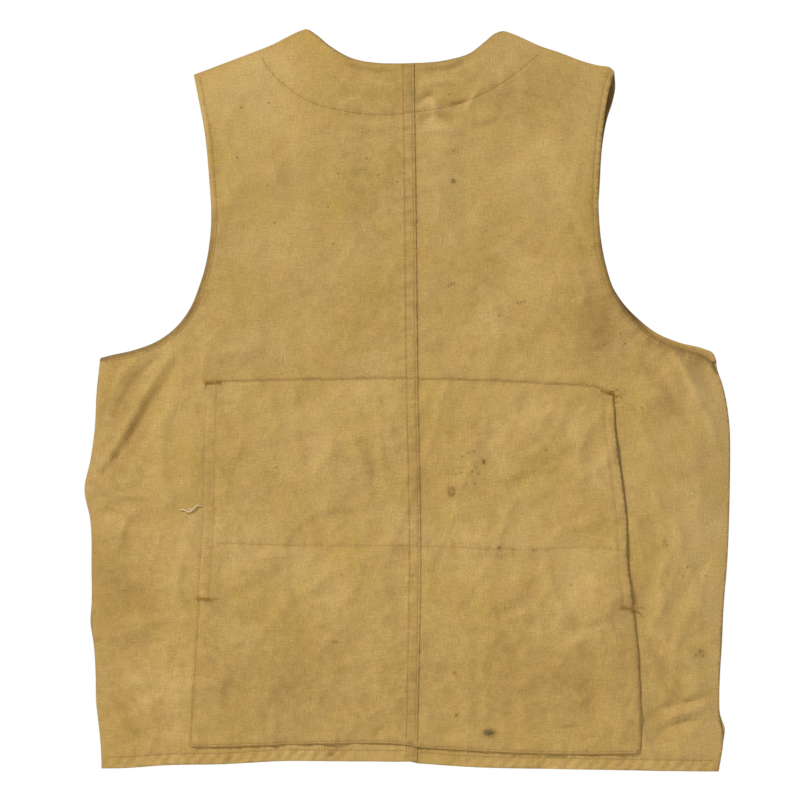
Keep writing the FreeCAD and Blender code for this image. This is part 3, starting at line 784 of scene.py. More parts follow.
BRIGHT_BRASS = (0.62, 0.44, 0.19, 1)
TARNISH = (0.20, 0.12, 0.05, 1)
DARK_HORN = (0.055, 0.025, 0.01, 1)
LIGHT_HORN = (0.30, 0.17, 0.07, 1)
CLOUDED_HORN = (0.12, 0.06, 0.02, 1)
FLOOR_DIM = (0.88, 0.88, 0.87, 1)
FLOOR_BRIGHT = (0.90, 0.90, 0.89, 1)


def brass_material():
    """Dull brass with tarnish in blotches and fine scratches."""
    shader = Shader("dull_brass", 0.4, metallic=1.0)
    place = shader.add("TexCoord").outputs["Object"]
    blotch = shader.noise(place, 380.0, 4.0, 0.65)
    scratch = shader.noise(shader.stretched(place, 300.0, 4000.0), 1.0, 2.0)
    colour = shader.mix(shader.range(blotch, 0.42, 0.66), BRIGHT_BRASS, TARNISH)
    shader.bump(scratch, 0.00004, 0.5)
    return shader.finish(colour, shader.range(blotch, 0.3, 0.7, 0.28, 0.62))


def horn_material():
    """Brown horn-like plastic, clouded and streaked."""
    shader = Shader("brown_horn", 0.3, coat_weight=0.3, coat_roughness=0.2)
    place = shader.add("TexCoord").outputs["Object"]
    streak = shader.noise(shader.stretched(place, 160.0, 620.0), 1.0, 4.0, 0.6)
    cloud = shader.noise(place, 90.0, 2.0)
    colour = shader.mix(shader.range(streak, 0.35, 0.7), DARK_HORN, LIGHT_HORN)
    colour = shader.mix(shader.range(cloud, 0.3, 0.7, 0.0, 0.5), colour, CLOUDED_HORN)
    shader.bump(streak, 0.00005, 0.4)
    return shader.finish(colour, shader.range(cloud, 0.3, 0.7, 0.25, 0.4))


def floor_material():
    """Plain pale studio floor with the faintest unevenness."""
    shader = Shader("pale_floor", 0.8)
    place = shader.add("TexCoord").outputs["Object"]
    grain = shader.noise(place, 6.0, 3.0)
    colour = shader.mix(shader.range(grain, 0.3, 0.7), FLOOR_DIM, FLOOR_BRIGHT)
    return shader.finish(colour)


# Canvas: its pale and deep colours, its patches, and the dirt in its seams. The patch and seam-dirt colours
# also take painted shade.
PALE = (0.67, 0.447, 0.160, 1)
DEEP = (0.59, 0.383, 0.098, 1)
DIRT_AND_SHADE = (0.42, 0.252, 0.068, 1)
RUST = (0.60, 0.352, 0.122, 1)
SEAM_DIRT_AND_SHADE = (0.34, 0.188, 0.045, 1)
CLOTH = canvas_material("faded_canvas", PALE, DEEP, RUST, DIRT_AND_SHADE, SEAM_DIRT_AND_SHADE)
DRILL = canvas_material(
    "cotton_drill", (0.44, 0.31, 0.14, 1), (0.37, 0.25, 0.10, 1), (0.36, 0.22, 0.09, 1),
    (0.28, 0.18, 0.07, 1), (0.22, 0.13, 0.05, 1), 0.45
)
THREAD = thread_material("faded_thread", (0.35, 0.205, 0.065, 1), (0.25, 0.135, 0.04, 1))
PALE_THREAD = thread_material("pale_thread", (0.55, 0.35, 0.12, 1), (0.42, 0.25, 0.08, 1))
OCHRE = thread_material("ochre_thread", (0.66, 0.38, 0.06, 1), (0.30, 0.16, 0.02, 1))
CREAM = thread_material("cream_thread", (0.85, 0.72, 0.45, 1), (0.70, 0.55, 0.30, 1))
BRASS = brass_material()
HORN = horn_material()


# ---------------------------------------------------------------- camera and light

VIEW_WIDTH = 736.0
VIEW_MIDDLE = (6.75, -340.6)
CAMERA_AWAY = 6000.0
SENSOR = 36.0


def make_camera():
    """Straight on to the back, from far enough away that nothing is foreshortened."""
    data = bpy.data.cameras.new("camera")
    data.sensor_width = SENSOR
    data.lens = SENSOR * CAMERA_AWAY / VIEW_WIDTH
    data.clip_end = 50
    camera = bpy.data.objects.new("camera", data)
    camera.location = Vector((VIEW_MIDDLE[0], CAMERA_AWAY, VIEW_MIDDLE[1])) * MM
    camera.rotation_euler = (math.radians(90), 0, math.radians(180))
    bpy.context.scene.collection.objects.link(camera)
    bpy.context.scene.camera = camera


def make_sun(name, toward, strength, softness):
    """A far light that stands towards a direction and spreads over some degrees."""
    data = bpy.data.lights.new(name, "SUN")
    data.energy = strength
    data.angle = math.radians(softness)
    lamp = bpy.data.objects.new(name, data)
    lamp.rotation_euler = Vector(toward).to_track_quat("Z", "Y").to_euler()
    bpy.context.scene.collection.objects.link(lamp)


def make_world(strength):
    world = bpy.data.worlds.new("studio")
    world.use_nodes = True
    nodes, links = world.node_tree.nodes, world.node_tree.links
    sky = nodes["Background"]
    sky.inputs["Color"].default_value = (1, 1, 1, 1)
    sky.inputs["Strength"].default_value = strength
    backdrop = nodes.new("ShaderNodeBackground")
    backdrop.inputs["Color"].default_value = (1, 1, 1, 1)
    seen = nodes.new("ShaderNodeLightPath")
    mix = nodes.new("ShaderNodeMixShader")
    links.new(seen.outputs["Is Camera Ray"], mix.inputs[0])
    links.new(sky.outputs[0], mix.inputs[1])
    links.new(backdrop.outputs[0], mix.inputs[2])
    links.new(mix.outputs[0], nodes["World Output"].inputs["Surface"])
    bpy.context.scene.world = world


# The floor is this far below the vest, in millimetres, and has this radius, in metres.
FLOOR_DROP = 300.0
FLOOR_RADIUS = 2.6
SKY_STRENGTH = 0.28


def make_floor():
    bpy.ops.mesh.primitive_circle_add(vertices=96, radius=FLOOR_RADIUS, fill_type="NGON")
    floor = bpy.context.object
    floor.name = "studio_floor"
    floor.location.z = CAD_BOX[0].z - FLOOR_DROP * MM
    floor.data.materials.append(floor_material())


make_camera()
make_world(SKY_STRENGTH)
make_sun("key", toward=(0.46, 0.60, 0.65), strength=2.45, softness=12)
make_sun("front_fill", toward=(-0.4, -0.8, 0.5), strength=1.5, softness=30)
make_floor()
bpy.context.scene.view_settings.view_transform = "Standard"


# ---------------------------------------------------------------- the back

# How high the back stands in its middle and at its edges, and over what width it rises.
BACK_RISE = 29.0
EDGE_RISE = 1.0
BACK_CROWN = 112.0

# Folds: a run of points, a height and a width.
BACK_FOLDS = fold_lines((
    # from the left armpit
    (((224, -297), (252, -325), (263, -344), (278, -370)), -1.7, 4),
    (((210, -293), (237, -329), (261, -370), (288, -413)), 2.6, 4.2),
    (((207, -301), (232, -339), (262, -386), (291, -421)), -2.2, 3.6),
    (((204, -318), (222, -350), (240, -388), (262, -420)), 1.3, 6),
    (((240, -294), (262, -318), (278, -345)), 1.6, 5),
    (((262, -303), (274, -330), (284, -368)), -1.4, 4),
    (((294, -427), (262, -431), (226, -435)), -2.2, 8),
    (((294, -445), (255, -455), (222, -470)), 1.6, 11),
    # down the left side
    (((222, -345), (228, -400), (216, -455)), 1.5, 16),
    (((288, -500), (250, -520), (215, -560)), -1.5, 14),
    (((284, -560), (262, -580), (232, -620)), 1.4, 12),
    (((276, -600), (258, -630), (238, -662)), -1.4, 9),
    # from the right armpit
    (((-228, -281), (-244, -297), (-260, -325), (-270, -345)), 2.4, 4.5),
    (((-232, -289), (-247, -308), (-262, -335)), -1.8, 5),
    (((-262, -300), (-272, -312), (-286, -330)), -2.0, 7),
    (((-214, -300), (-238, -330), (-262, -372)), -1.7, 12),
    (((-208, -350), (-232, -395), (-262, -430)), 1.6, 14),
    (((-290, -470), (-262, -505), (-232, -548)), -1.4, 13),
    (((-212, -420), (-228, -470), (-226, -530)), -1.3, 12),
    (((-284, -590), (-260, -610), (-236, -640)), 1.3, 10),
    # across the upper back, and by the right armhole
    (((150, -70), (120, -110), (96, -160)), -0.9, 18),
    (((60, -120), (52, -180), (40, -250)), 0.8, 20),
    (((-40, -90), (-52, -150), (-44, -230)), -0.8, 18),
    (((-150, -75), (-136, -120), (-150, -180)), 0.9, 20),
    (((-176, -235), (-172, -265), (-180, -300)), -1.2, 9),
    (((170, -210), (160, -245), (172, -290)), 1.1, 12),
    (((14, -96), (22, -140), (18, -186)), 0.7, 8),
    # finer ones down the left side
    (((288, -434), (256, -429), (229, -431)), 1.6, 4.5),
    (((286, -440), (262, -446), (236, -462)), -1.4, 5),
    (((262, -380), (250, -402), (232, -410)), 1.2, 5),
    (((258, -352), (244, -372), (228, -376)), -1.0, 5),
    (((282, -560), (248, -550), (212, -536)), 1.3, 6),
    (((280, -585), (250, -566), (220, -560)), -1.1, 6),
    (((279, -645), (240, -622), (208, -602)), 1.2, 7),
    (((272, -662), (240, -646), (214, -640)), -0.9, 5),
    # finer ones down the right side
    (((-250, -470), (-232, -500), (-236, -540)), 1.2, 6),
    (((-216, -540), (-244, -566), (-272, -590)), 1.3, 5),
    (((-218, -556), (-240, -590), (-262, -618)), -1.2, 6),
    (((-230, -596), (-257, -617), (-287, -605)), -1.8, 3.6),
    (((-213, -636), (-238, -621), (-262, -616)), -1.2, 4.5),
    (((-238, -632), (-262, -625), (-286, -621)), 1.9, 5),
    (((-225, -649), (-253, -635), (-286, -638)), -1.7, 4),
    (((-222, -402), (-248, -412), (-280, -404)), -1.1, 7),
    (((-262, -330), (-276, -356), (-290, -400)), 1.4, 5),
    (((-240, -300), (-262, -322), (-284, -350)), 1.6, 4),
    # wrinkles at the neck, beside the centre seam
    (((-14, -120), (-30, -158), (-22, -190)), 0.9, 6),
    (((46, -60), (36, -74), (20, -84)), 1.2, 4),
    (((68, -22), (52, -34), (30, -39), (8, -40)), -1.6, 3),
    (((-8, -39), (-28, -38), (-46, -34), (-60, -27)), -1.7, 3),
    (((42, -46), (24, -51), (8, -54)), 1.5, 3.5),
    (((-10, -52), (-30, -48), (-52, -50)), 1.8, 3.2),
    (((-30, -66), (-44, -70), (-58, -64)), -1.8, 3),
    (((-72, -50), (-60, -64), (-52, -80)), 1.1, 4),
    (((6, -86), (30, -89), (62, -85)), 1.1, 4),
    (((-54, -84), (-70, -90), (-82, -84)), -1.0, 4),
    (((62, -52), (48, -60), (30, -62)), -0.8, 4),
    (((-10, -96), (-30, -92), (-52, -98)), 1.9, 3.6),
    (((-8, -70), (-18, -62), (-32, -60)), -1.8, 3),
    (((-10, -84), (-28, -80), (-46, -86)), -1.7, 3.2),
    (((-20, -62), (-26, -74), (-22, -90)), 1.5, 4),
    # short creases of the upper back and the right armhole
    (((-149, -172), (-153, -188), (-164, -202), (-171, -216)), -1.4, 3),
    (((-156, -168), (-161, -184), (-173, -198)), 1.1, 4),
    (((80, -110), (56, -128), (40, -126)), 0.8, 5),
    (((66, -126), (48, -134), (28, -138)), -0.9, 5),
    (((-150, -210), (-162, -236), (-158, -262)), 1.1, 5),
    (((-120, -130), (-142, -164), (-148, -200)), -0.8, 8),
))
# Stained and pale patches: centre, reach across and down, strength; pale ones are negative.
BACK_PATCHES = (
    (172, -250, 30, 60, 0.20), (150, -60, 50, 40, -0.40), (100, -190, 70, 90, -0.22),
    (38, -160, 46, 90, 0.26), (70, -240, 60, 45, 0.16), (-176, -278, 24, 34, 0.62), (-183, -262, 8, 30, 0.3),
    (-128, -66, 46, 26, 0.38), (-166, -190, 12, 50, 0.24), (-60, -120, 60, 60, -0.10),
    (-95, -230, 60, 50, 0.10),
    (250, -345, 26, 50, 0.26), (270, -440, 30, 30, -0.35), (-250, -350, 34, 40, 0.22),
    (232, -640, 44, 40, 0.14), (-250, -600, 40, 60, 0.34), (-176, -150, 16, 80, 0.14),
    (30, -55, 40, 20, 0.24), (-66, -52, 30, 18, 0.22), (0, -110, 14, 60, 0.10),
    # The broad patches down the sides, at (276, -500) and (-272, -500), are painted shade and painted light:
    # the left side, which the key light falls on, is darkened, and the right side, which it leaves darker,
    # is paled.
    (276, -500, 44, 190, 0.66), (-272, -500, 44, 220, -0.30), (0, -560, 200, 120, 0.16),
    (-170, -140, 30, 90, -0.25), (40, -300, 120, 50, 0.08),
    (-269, -573, 5, 4, 0.9), (-222, -289, 5, 3.5, 0.7), (-42, -140, 2.8, 2.4, 1.5),
    (-236, -472, 2, 5, 0.7), (70, -664.6, 3.4, 1.9, 1.1), (-4, -665, 7, 5, 0.5),
)
# Middles of small dark spots.
BACK_SPOTS = (
    (152.2, -72.2), (127, -68), (37.3, -119.6), (63.5, -133.4), (9.2, -140.8), (127.9, -144.4),
    (121.4, -178.5), (72.7, -163.8), (68.1, -197.8), (155.5, -118.7), (-42.3, -112.2), (-42.3, -140.8),
    (-180, -290.3), (-199.6, -288.9), (-195, -279.7), (-214.4, -347.8), (-238, -473.8), (-265, -575),
    (-43, -233.6), (-40, -235), (-37.6, -236.4), (-104, -251), (-107, -250), (-101, -252), (-84, -263.4),
    (26.4, -134.8), (-38, -60.6), (-253, -502), (-257, -494), (-274, -502), (-269, -571), (-272, -576),
)

# Stitch rows lie this far inside the armholes, and this far above the hem.
BACK_ROW_INSET = 5.3
BACK_HEM_ROW = 10.2
NECK_FACING_ROW = curve([
    (137, -18.4), (129, -34), (108, -55.4), (87, -68.2), (60, -75.6), (24, -79.4), (-12, -76.2),
    (-48, -69), (-83, -52.4), (-103, -38), (-125, -19.3),
])
HEM_ROWS = {side: Line(on_side(side, shifted(HEMS[side], BACK_HEM_ROW)[:-2])) for side in SIDES}
ARM_ROWS = {
    side: Line(on_side(side, shifted(BACK_ARMHOLES[side], -BACK_ROW_INSET)[2:-3])) for side in SIDES
}


def seam_row(offset, top, foot):
    """A line beside the centre seam, from a top to a foot."""
    z = np.arange(top, foot, -3.0)
    return np.column_stack([centre_at(z) + offset, z])


def back_outline(side):
    """From the neck at the centre seam out along the shoulder, down the armhole and side, and back."""
    lap = -SEAM_LAP if side == "left" else 2.0
    neck_z = SHOULDERS[side][0, 1]
    hem_z = HEMS[side][0, 1]
    shoulder = on_side(side, SHOULDERS[side])
    shoulder = shoulder[np.abs(shoulder[:, 0]) > 4]
    hem = on_side(side, HEMS[side])[::-1]
    hem = hem[np.abs(hem[:, 0]) > 8]
    seam = seam_row(lap, neck_z, hem_z)
    side_seam = SIDE_SEAMS[side]
    foot = HEMS[side][-1, 1]
    armhole = BACK_ARMHOLES[side]
    side_seam = side_seam[(side_seam[:, 1] < armhole[-1, 1] - 1) & (side_seam[:, 1] > foot + 1)]
    return closed(
        seam[:1], shoulder, on_side(side, armhole)[1:], on_side(side, side_seam), hem, seam[::-1][:-1]
    )


CENTRE_ROWS = [Line(seam_row(offset, -33, -672)) for offset in (SEAM_ROW, -SEAM_ROW)]
FACING_ROW = Line(NECK_FACING_ROW[3:-2])
BACK_ROWS = {side: [FACING_ROW, ARM_ROWS[side], HEM_ROWS[side]] + CENTRE_ROWS for side in SIDES}
BACK_EDGES = [
    Line(on_side(side, run)) for side in SIDES for run in (BACK_ARMHOLES[side], HEMS[side])
] + [Line(on_side(side, SHOULDERS[side][:20])) for side in SIDES]


ROPE_PITCH = 11.5


def roping(x, z, side):
    """Slanting ridges of a turned hem."""
    offset, place = Line(on_side(side, HEMS[side])).measure(x, z, 16)
    height = np.abs(offset)
    inside = bell(height - 4.8, 3.6)
    slant = 2 * math.pi * (place + SIDES[side] * 0.9 * height) / ROPE_PITCH
    return inside * np.cos(slant + 0.7 * np.sin(place / 17))


def soft_back(x, z):
    """The back with its folds and the slight unevenness of worn cloth, still without seams."""
    rise = crown(x, z, BACK_CROWN)
    height = EDGE_RISE + BACK_RISE * rise
    slack = ease(rise * 3)
    height += 1.5 * folded(x, z, BACK_FOLDS) * slack
    height += slack * mixed(waves, x, z, (0.9, 95, 3), (0.36, 36, 5), (0.12, 14, 7))
    worn = slack * (0.45 + ease((np.abs(x) - 120) / 90) * np.where(x > 0, 0.5, 0.25))
    return height + worn * mixed(creases, x, z, (1.5, 120, 13), (1.1, 60, 17), (0.6, 30, 29))


def felled(side, from_seam, height, stain_and_shade, rub_and_light):
    """The centre seam's lap: the left cloth is folded over the right one, and its edge is rubbed; the right
    cloth beside that edge gets a line of painted shadow.
    """
    if side == "left":
        height = height + 0.8 * ease((SEAM_ROW + 3.4 - from_seam) / 2.6)
        height = height - 0.35 * bell(from_seam + SEAM_LAP, 0.8)
        rub_and_light = np.maximum(rub_and_light, 0.7 * bell(from_seam + SEAM_LAP, 1.2))
    else:
        # Painted shadow of the lap's edge, in seam-dirt colour, on the right cloth beside it.
        stain_and_shade = np.maximum(stain_and_shade, 0.45 * bell(from_seam + SEAM_LAP + 0.2, 0.8))
    return height, stain_and_shade, rub_and_light


def back_surface(side):
    arm_edge = Line(on_side(side, BACK_ARMHOLES[side]))
    neck_edge = Line(on_side(side, SHOULDERS[side][SHOULDERS[side][:, 0] < 90]))

    def surface(x, z):
        height, stain_and_shade, rub_and_light = relief(x, z, BACK_ROWS[side], BACK_EDGES, 11 if side == "left" else 31)
        height += soft_back(x, z)
        hem_roping = roping(x, z, side) * ease((np.abs(x) - 20) / 60)
        height += (1.2 if side == "left" else 1.0) * hem_roping
        from_seam = x - centre_at(z)
        height, stain_and_shade, rub_and_light = felled(side, from_seam, height, stain_and_shade, rub_and_light)
        if side == "right":
            height -= 0.25 * bell(from_seam + SEAM_LAP + 0.6, 1.5)
        seam_puckers = bell(from_seam, 5) * puckers(z, 43, 7.0)
        height += 0.42 * seam_puckers
        # Painted shade: a dark line along the neck's edge, where the facing rolls over it.
        neck, _ = neck_edge.measure(x, z, 6)
        stain_and_shade = np.maximum(stain_and_shade, 0.85 * bell(neck, 1.3))
        # Painted light: a broad pale band down the right side, which the key light leaves darker.
        rub_and_light = np.maximum(rub_and_light, 0.5 * bell(x + 272, 44))
        tone_and_shading = patched(x, z, BACK_PATCHES)
        # Fold valleys darker and crests paler, more so by the neck: partly ingrained dirt and wear, partly
        # painted shade and painted highlight.
        folds = folded(x, z, BACK_FOLDS)
        at_neck = 1 + 1.4 * ease((z + 115) / 30) * ease((95 - np.abs(x)) / 30)
        tone_and_shading += at_neck * (0.14 * np.clip(-folds, 0, 2) - 0.10 * np.clip(folds, 0, 2))
        # Painted light and shade: paler on the ridges of the hem's roping and the centre seam's puckers,
        # darker in their hollows.
        tone_and_shading -= 0.16 * hem_roping + 0.14 * seam_puckers
        # Painted shade: darker near the armhole's edge, and a dark crisp band along its rolled lower curve.
        band, _ = arm_edge.measure(x, z, 14)
        tone_and_shading += 0.14 * bell(band, 8) + 1.25 * ease((3.8 - np.abs(band)) / 1.2) * ease((-150 - z) / 60)
        return np.column_stack([x, height, z]), stain_and_shade, rub_and_light, tone_and_shading

    return surface


def make_back():
    for side in SIDES:
        spots = [spot for spot in BACK_SPOTS if spot[0] * SIDES[side] > 0]
        piece = cloth(
            "back_" + side, back_outline(side), back_surface(side), BACK, CLOTH,
            lines=BACK_ROWS[side], spots=spots
        )
        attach(piece, "root")
        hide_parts("back_%s_panel" % side)
    bars = []
    surfaces = {side: back_surface(side) for side in SIDES}
    for side in SIDES:
        bars += stitched((ARM_ROWS[side], HEM_ROWS[side]), surfaces[side], BACK)
    beyond = FACING_ROW.points[:, 0] > -SEAM_LAP
    bars += stitched(CENTRE_ROWS + [Line(FACING_ROW.points[beyond])], surfaces["left"], BACK)
    bars += stitched([Line(FACING_ROW.points[~beyond])], surfaces["right"], BACK)
    stitches = thread_mesh("back_stitches", bars, THREAD)
    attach(stitches, "root")


# ---------------------------------------------------------------- facings inside the back

FACING_BEHIND = 1.45
FACING_PAST_ROW = 2.0
ARM_FACING = 12.0


def plain_tone(x, z):
    return 0.10 * waves(x, z, 70, 41)


def neck_at(x):
    """Height of the neck's edge."""
    left, right = (np.interp(np.abs(x), line[:, 0], line[:, 1]) for line in SHOULDERS.values())
    return np.where(x > 0, left, right)


def back_facing_surface(x, z):
    """Just inside the back; darkened with painted shade where it rolls over the neck's edge."""
    height = soft_back(x, z) - FACING_BEHIND
    zero = np.zeros(len(x))
    # Painted shade on the rolled neck edge.
    painted_shade = 1.3 * ease((z - neck_at(x) + 2.6) / 2) * ease((110 - np.abs(x)) / 30)
    return np.column_stack([x, height, z]), zero, zero, plain_tone(x, z) + painted_shade


def make_neck_facing():
    """Between the neck and its row of stitches; on the left it rolls a little past the neck's edge."""
    rolled = []
    for side, sign in SIDES.items():
        line = SHOULDERS[side]
        neck = line[line[:, 0] < 132]
        roll = 0.9 * bell(neck[:, 0] - 66, 26) if side == "left" else 0.75 * bell(neck[:, 0] - 46, 34)
        neck = neck + np.column_stack([0 * roll, roll - 0.25])
        rolled.append(neck * (sign, 1))
    foot = shifted(NECK_FACING_ROW, -FACING_PAST_ROW)
    seams = np.where(foot[:, 0] > 0, shoulder_at("left", foot[:, 0]), shoulder_at("right", -foot[:, 0]))
    foot = foot[foot[:, 1] < seams - 1.5]
    outline = closed(rolled[1][::-1], rolled[0][1:], foot)
    piece = cloth("neck_facing", outline, back_facing_surface, BACK, CLOTH, lines=[FACING_ROW])
    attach(piece, "root")
    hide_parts("back_neck_facing")


def front_facing_surface(side):
    """Just inside a front; on the right its upper part is darkened with painted shade."""
    def surface(x, z):
        height = soft_front(side, x, z) - FACING_BEHIND
        zero = np.zeros(len(x))
        # Painted shade: the right facing's upper part, seen past the back's armhole, is darkened toward the
        # top.
        painted_shade = 2.0 * ease((z + 115) / 40) if side == "right" else 0 * z
        return np.column_stack([x, -height, z]), painted_shade, zero, plain_tone(x, z) + painted_shade
    return surface


def make_arm_facings():
    """A band inside each armhole, across the back and the front."""
    for side in SIDES:
        bands = []
        for place, armholes, surface, facing in (
            ("back", BACK_ARMHOLES, back_facing_surface, BACK),
            ("front", FRONT_ARMHOLES, front_facing_surface(side), FRONT),
        ):
            edge = shifted(armholes[side], -0.3)
            inner = shifted(armholes[side], -ARM_FACING)
            inner = inner[inner[:, 0] < side_at(side, inner[:, 1]) - 1]
            outline = closed(on_side(side, edge), on_side(side, inner)[::-1])
            name = "arm_facing_%s_%s" % (side, place)
            bands.append(cloth(name, outline, surface, facing, CLOTH, step=3.2))
        piece = joined("arm_facing_" + side, bands)
        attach(piece, "root")
        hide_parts("armhole_facing_" + side)


# ---------------------------------------------------------------- the game pouch

POUCH_TOP = curve([
    (184, -323), (90, -321.2), (-7, -320.2), (-80, -322.5), (-141, -325.6), (-175, -328.4),
    (-189, -333),
])
POUCH_SIDES = {
    "left": curve([(184, -323), (185.5, -380), (186.8, -451), (191.6, -525), (200, -659)]),
    "right": curve([
        (189, -333), (190.2, -363), (196.5, -413), (201.2, -451), (202.2, -488), (207, -528),
        (212.3, -586), (214, -628), (213.8, -662),
    ]),
}
POUCH_FOOT = curve([
    (200, -659), (172, -658.6), (71, -655.8), (7, -656.4), (-14, -659.2), (-56, -662),
    (-150, -665.4), (-210.6, -665),
])
LINING_ROW = curve([(188.4, -471), (100, -473.5), (0, -474), (-100, -477.5), (-186, -477), (-199, -479)])
# Bar tacks: each from its outer to its inner end.
TACKS = {
    "left_top": ((186.6, -324.4), (170.4, -323.8)),
    "left_foot": ((193.4, -522.0), (179.6, -522.6)),
    "right_top": ((-190.4, -336.0), (-176.4, -331.6)),
    "right_foot": ((-208.0, -531.2), (-194.4, -529.6)),
}
# The left side's open stretch, from one bar tack to the other.
OPEN_MIDDLE = (TACKS["left_top"][0][1] + TACKS["left_foot"][0][1]) / 2
OPEN_HALF = (TACKS["left_top"][0][1] - TACKS["left_foot"][0][1]) / 2 - 3
# How dark the line along the pouch's edges is, on the left's open stretch and elsewhere: seam dirt and
# painted shade under the edge.
OPEN_EDGE_DIRT_AND_SHADE = 0.35
SEWN_EDGE_DIRT_AND_SHADE = 1.15
# How far the pouch stands off the back: where it is sewn, and how much more in its middle.
POUCH_SEWN = 1.35
POUCH_SLACK = 3.8
POUCH_DOME = 70.0
OPEN_SIDE = {"left": 0.20, "right": 0.10}
SIDE_HEM = 9.4
POUCH_FOLDS = fold_lines((
    (((186, -524), (160, -537), (128, -541)), -1.2, 8),
    (((188, -515), (166, -500), (150, -470)), 0.9, 9),
    (((-202, -527), (-184, -512), (-158, -504)), 1.3, 6),
    (((-203, -534), (-176, -546), (-142, -549)), -1.2, 7),
    (((184, -330), (168, -350), (150, -384)), -1.0, 9),
    (((-186, -342), (-166, -368), (-152, -402)), 1.0, 9),
    (((90, -340), (82, -390), (90, -440)), 0.8, 14),
    (((70, -388), (52, -402), (34, -408)), -0.7, 7),
    (((-60, -350), (-68, -390), (-58, -430)), -0.7, 14),
    (((-136, -420), (-110, -432), (-84, -430)), 0.8, 9),
    (((60, -652), (50, -638), (44, -620)), 1.0, 5),
    (((32, -652), (24, -642), (12, -640)), -1.1, 4),
    (((150, -652), (140, -620), (146, -590)), 0.9, 12),
    (((-110, -655), (-104, -628), (-112, -600)), 0.8, 11),
    (((-176, -655), (-168, -620), (-176, -585)), -0.9, 12),
    (((56, -360), (40, -378), (31, -410), (30, -441)), -1.3, 6),
    (((72, -372), (52, -378), (34, -372)), 0.9, 5),
    (((148, -487), (112, -480), (74, -484)), 0.9, 5),
    (((168, -496), (140, -502), (110, -498)), -0.8, 6),
    (((84, -556), (60, -566), (44, -590)), 0.9, 6),
    (((52, -610), (38, -630), (36, -648)), 0.9, 5),
    (((-28, -470), (-60, -468), (-96, -471)), 0.8, 5),
    (((-40, -500), (-66, -486), (-100, -484), (-140, -490)), -0.9, 6),
    (((-96, -556), (-128, -566), (-170, -560)), 0.9, 6),
    (((-120, -580), (-150, -600), (-190, -604)), -0.9, 7),
    (((-54, -372), (-84, -380), (-96, -366)), 0.8, 5),
    (((-150, -352), (-160, -400), (-152, -440)), 0.8, 9),
))
POUCH_PATCHES = (
    (-74.5, -645, 5.6, 3.4, 2.3), (-40.5, -425, 4.2, 5.0, 0.9), (-70, -397, 1.8, 2.6, 1.4),
    (-43, -590, 1.8, 1.6, 0.8), (-45, -629, 1.6, 2.2, 0.8), (67, -562, 4.5, 1.3, 0.5),
    (-91.5, -626, 6, 1.5, 0.6), (-146, -639, 9, 1.8, 0.55), (120, -600, 90, 60, 0.42),
    (0, -400, 240, 60, 0.18),
    (-120, -600, 90, 60, 0.40), (80, -360, 80, 40, -0.14), (-60, -360, 70, 30, -0.08),
    (0, -560, 22, 80, 0.12), (188, -610, 12, 60, 0.16), (-202, -600, 12, 70, 0.16),
    (178.5, -325.6, 9, 2, 0.4), (186, -523.6, 8, 1.8, 0.4), (-183, -335, 9, 2, 0.5),
    (-200, -532, 8, 1.8, 0.5),
    (181.5, -425, 6, 80, 0.35), (0, -604, 230, 64, 0.15),
)
# Spots round the rim of the ring-shaped stain, and the other small spots.
RING_MIDDLE = (-40.4, -424.6)
RING_REACH = (2.9, 3.9)
RING_SPOTS = tuple(
    (RING_MIDDLE[0] + RING_REACH[0] * math.cos(turn), RING_MIDDLE[1] + RING_REACH[1] * math.sin(turn))
    for turn in np.arange(0.3, 6.3, 0.8)
)
POUCH_SPOTS = (
    (-70, -396.4), (-69.4, -398.6), (-43, -590), (-45, -629), (-89.3, -531),
    (-82.8, -475.6), (-84.8, -475.2), (-116, -478.4), (-118, -478), (-127, -386), (65, -562), (68, -562.2),
    (-55.6, -389), (-50, -392.6), (-61.3, -387.4), (-59.4, -406), (-65, -408), (-49, -407), (-54, -417),
    (-61.7, -416.7), (-44.4, -408.4), (-78, -645), (-74, -646), (-71, -644), (-150, -510), (60, -500),
    (120, -402),
) + RING_SPOTS


def pouch_row(run, inset, first=0, last=None):
    return Line(shifted(run, inset)[first:last])


def side_parts(side):
    """The open stretch of a pouch side, between its bar tacks, and the sewn stretch below."""
    line = on_side(side, POUCH_SIDES[side])
    tack = TACKS[side + "_foot"][0][1]
    return line[line[:, 1] > tack], line[line[:, 1] <= tack]


def make_pouch_rows():
    """Every row of stitches on the pouch, by name; insets are to the left of each run."""
    rows = {"top": pouch_row(POUCH_TOP, 1.4, 1, -1), "foot": pouch_row(POUCH_FOOT, -2.8, 1, -1)}
    rows["lining"] = Line(LINING_ROW)
    for side, sign in SIDES.items():
        opening, sewn = side_parts(side)
        rows[side + "_hem"] = pouch_row(opening, -sign * SIDE_HEM, 1, -1)
        rows[side + "_side"] = pouch_row(sewn, -sign * 1.6, 1, -1)
    return rows


POUCH_ROWS = make_pouch_rows()
FAINT_ROWS = ("left_hem", "right_hem", "lining")
POUCH_LINES = {side: Line(on_side(side, POUCH_SIDES[side])) for side in SIDES}
POUCH_TOP_LINE = Line(POUCH_TOP)
POUCH_FOOT_LINE = Line(POUCH_FOOT)
POUCH_CENTRE_ROWS = [Line(seam_row(offset, -322, -655)) for offset in (SEAM_ROW, -SEAM_ROW)]
ALL_POUCH_ROWS = list(POUCH_ROWS.values()) + POUCH_CENTRE_ROWS


def dome(distance, width):
    """0 at no distance, rising in a round line to 1 at a width."""
    return 1 - (1 - np.clip(np.abs(distance) / width, 0, 1)) ** 2


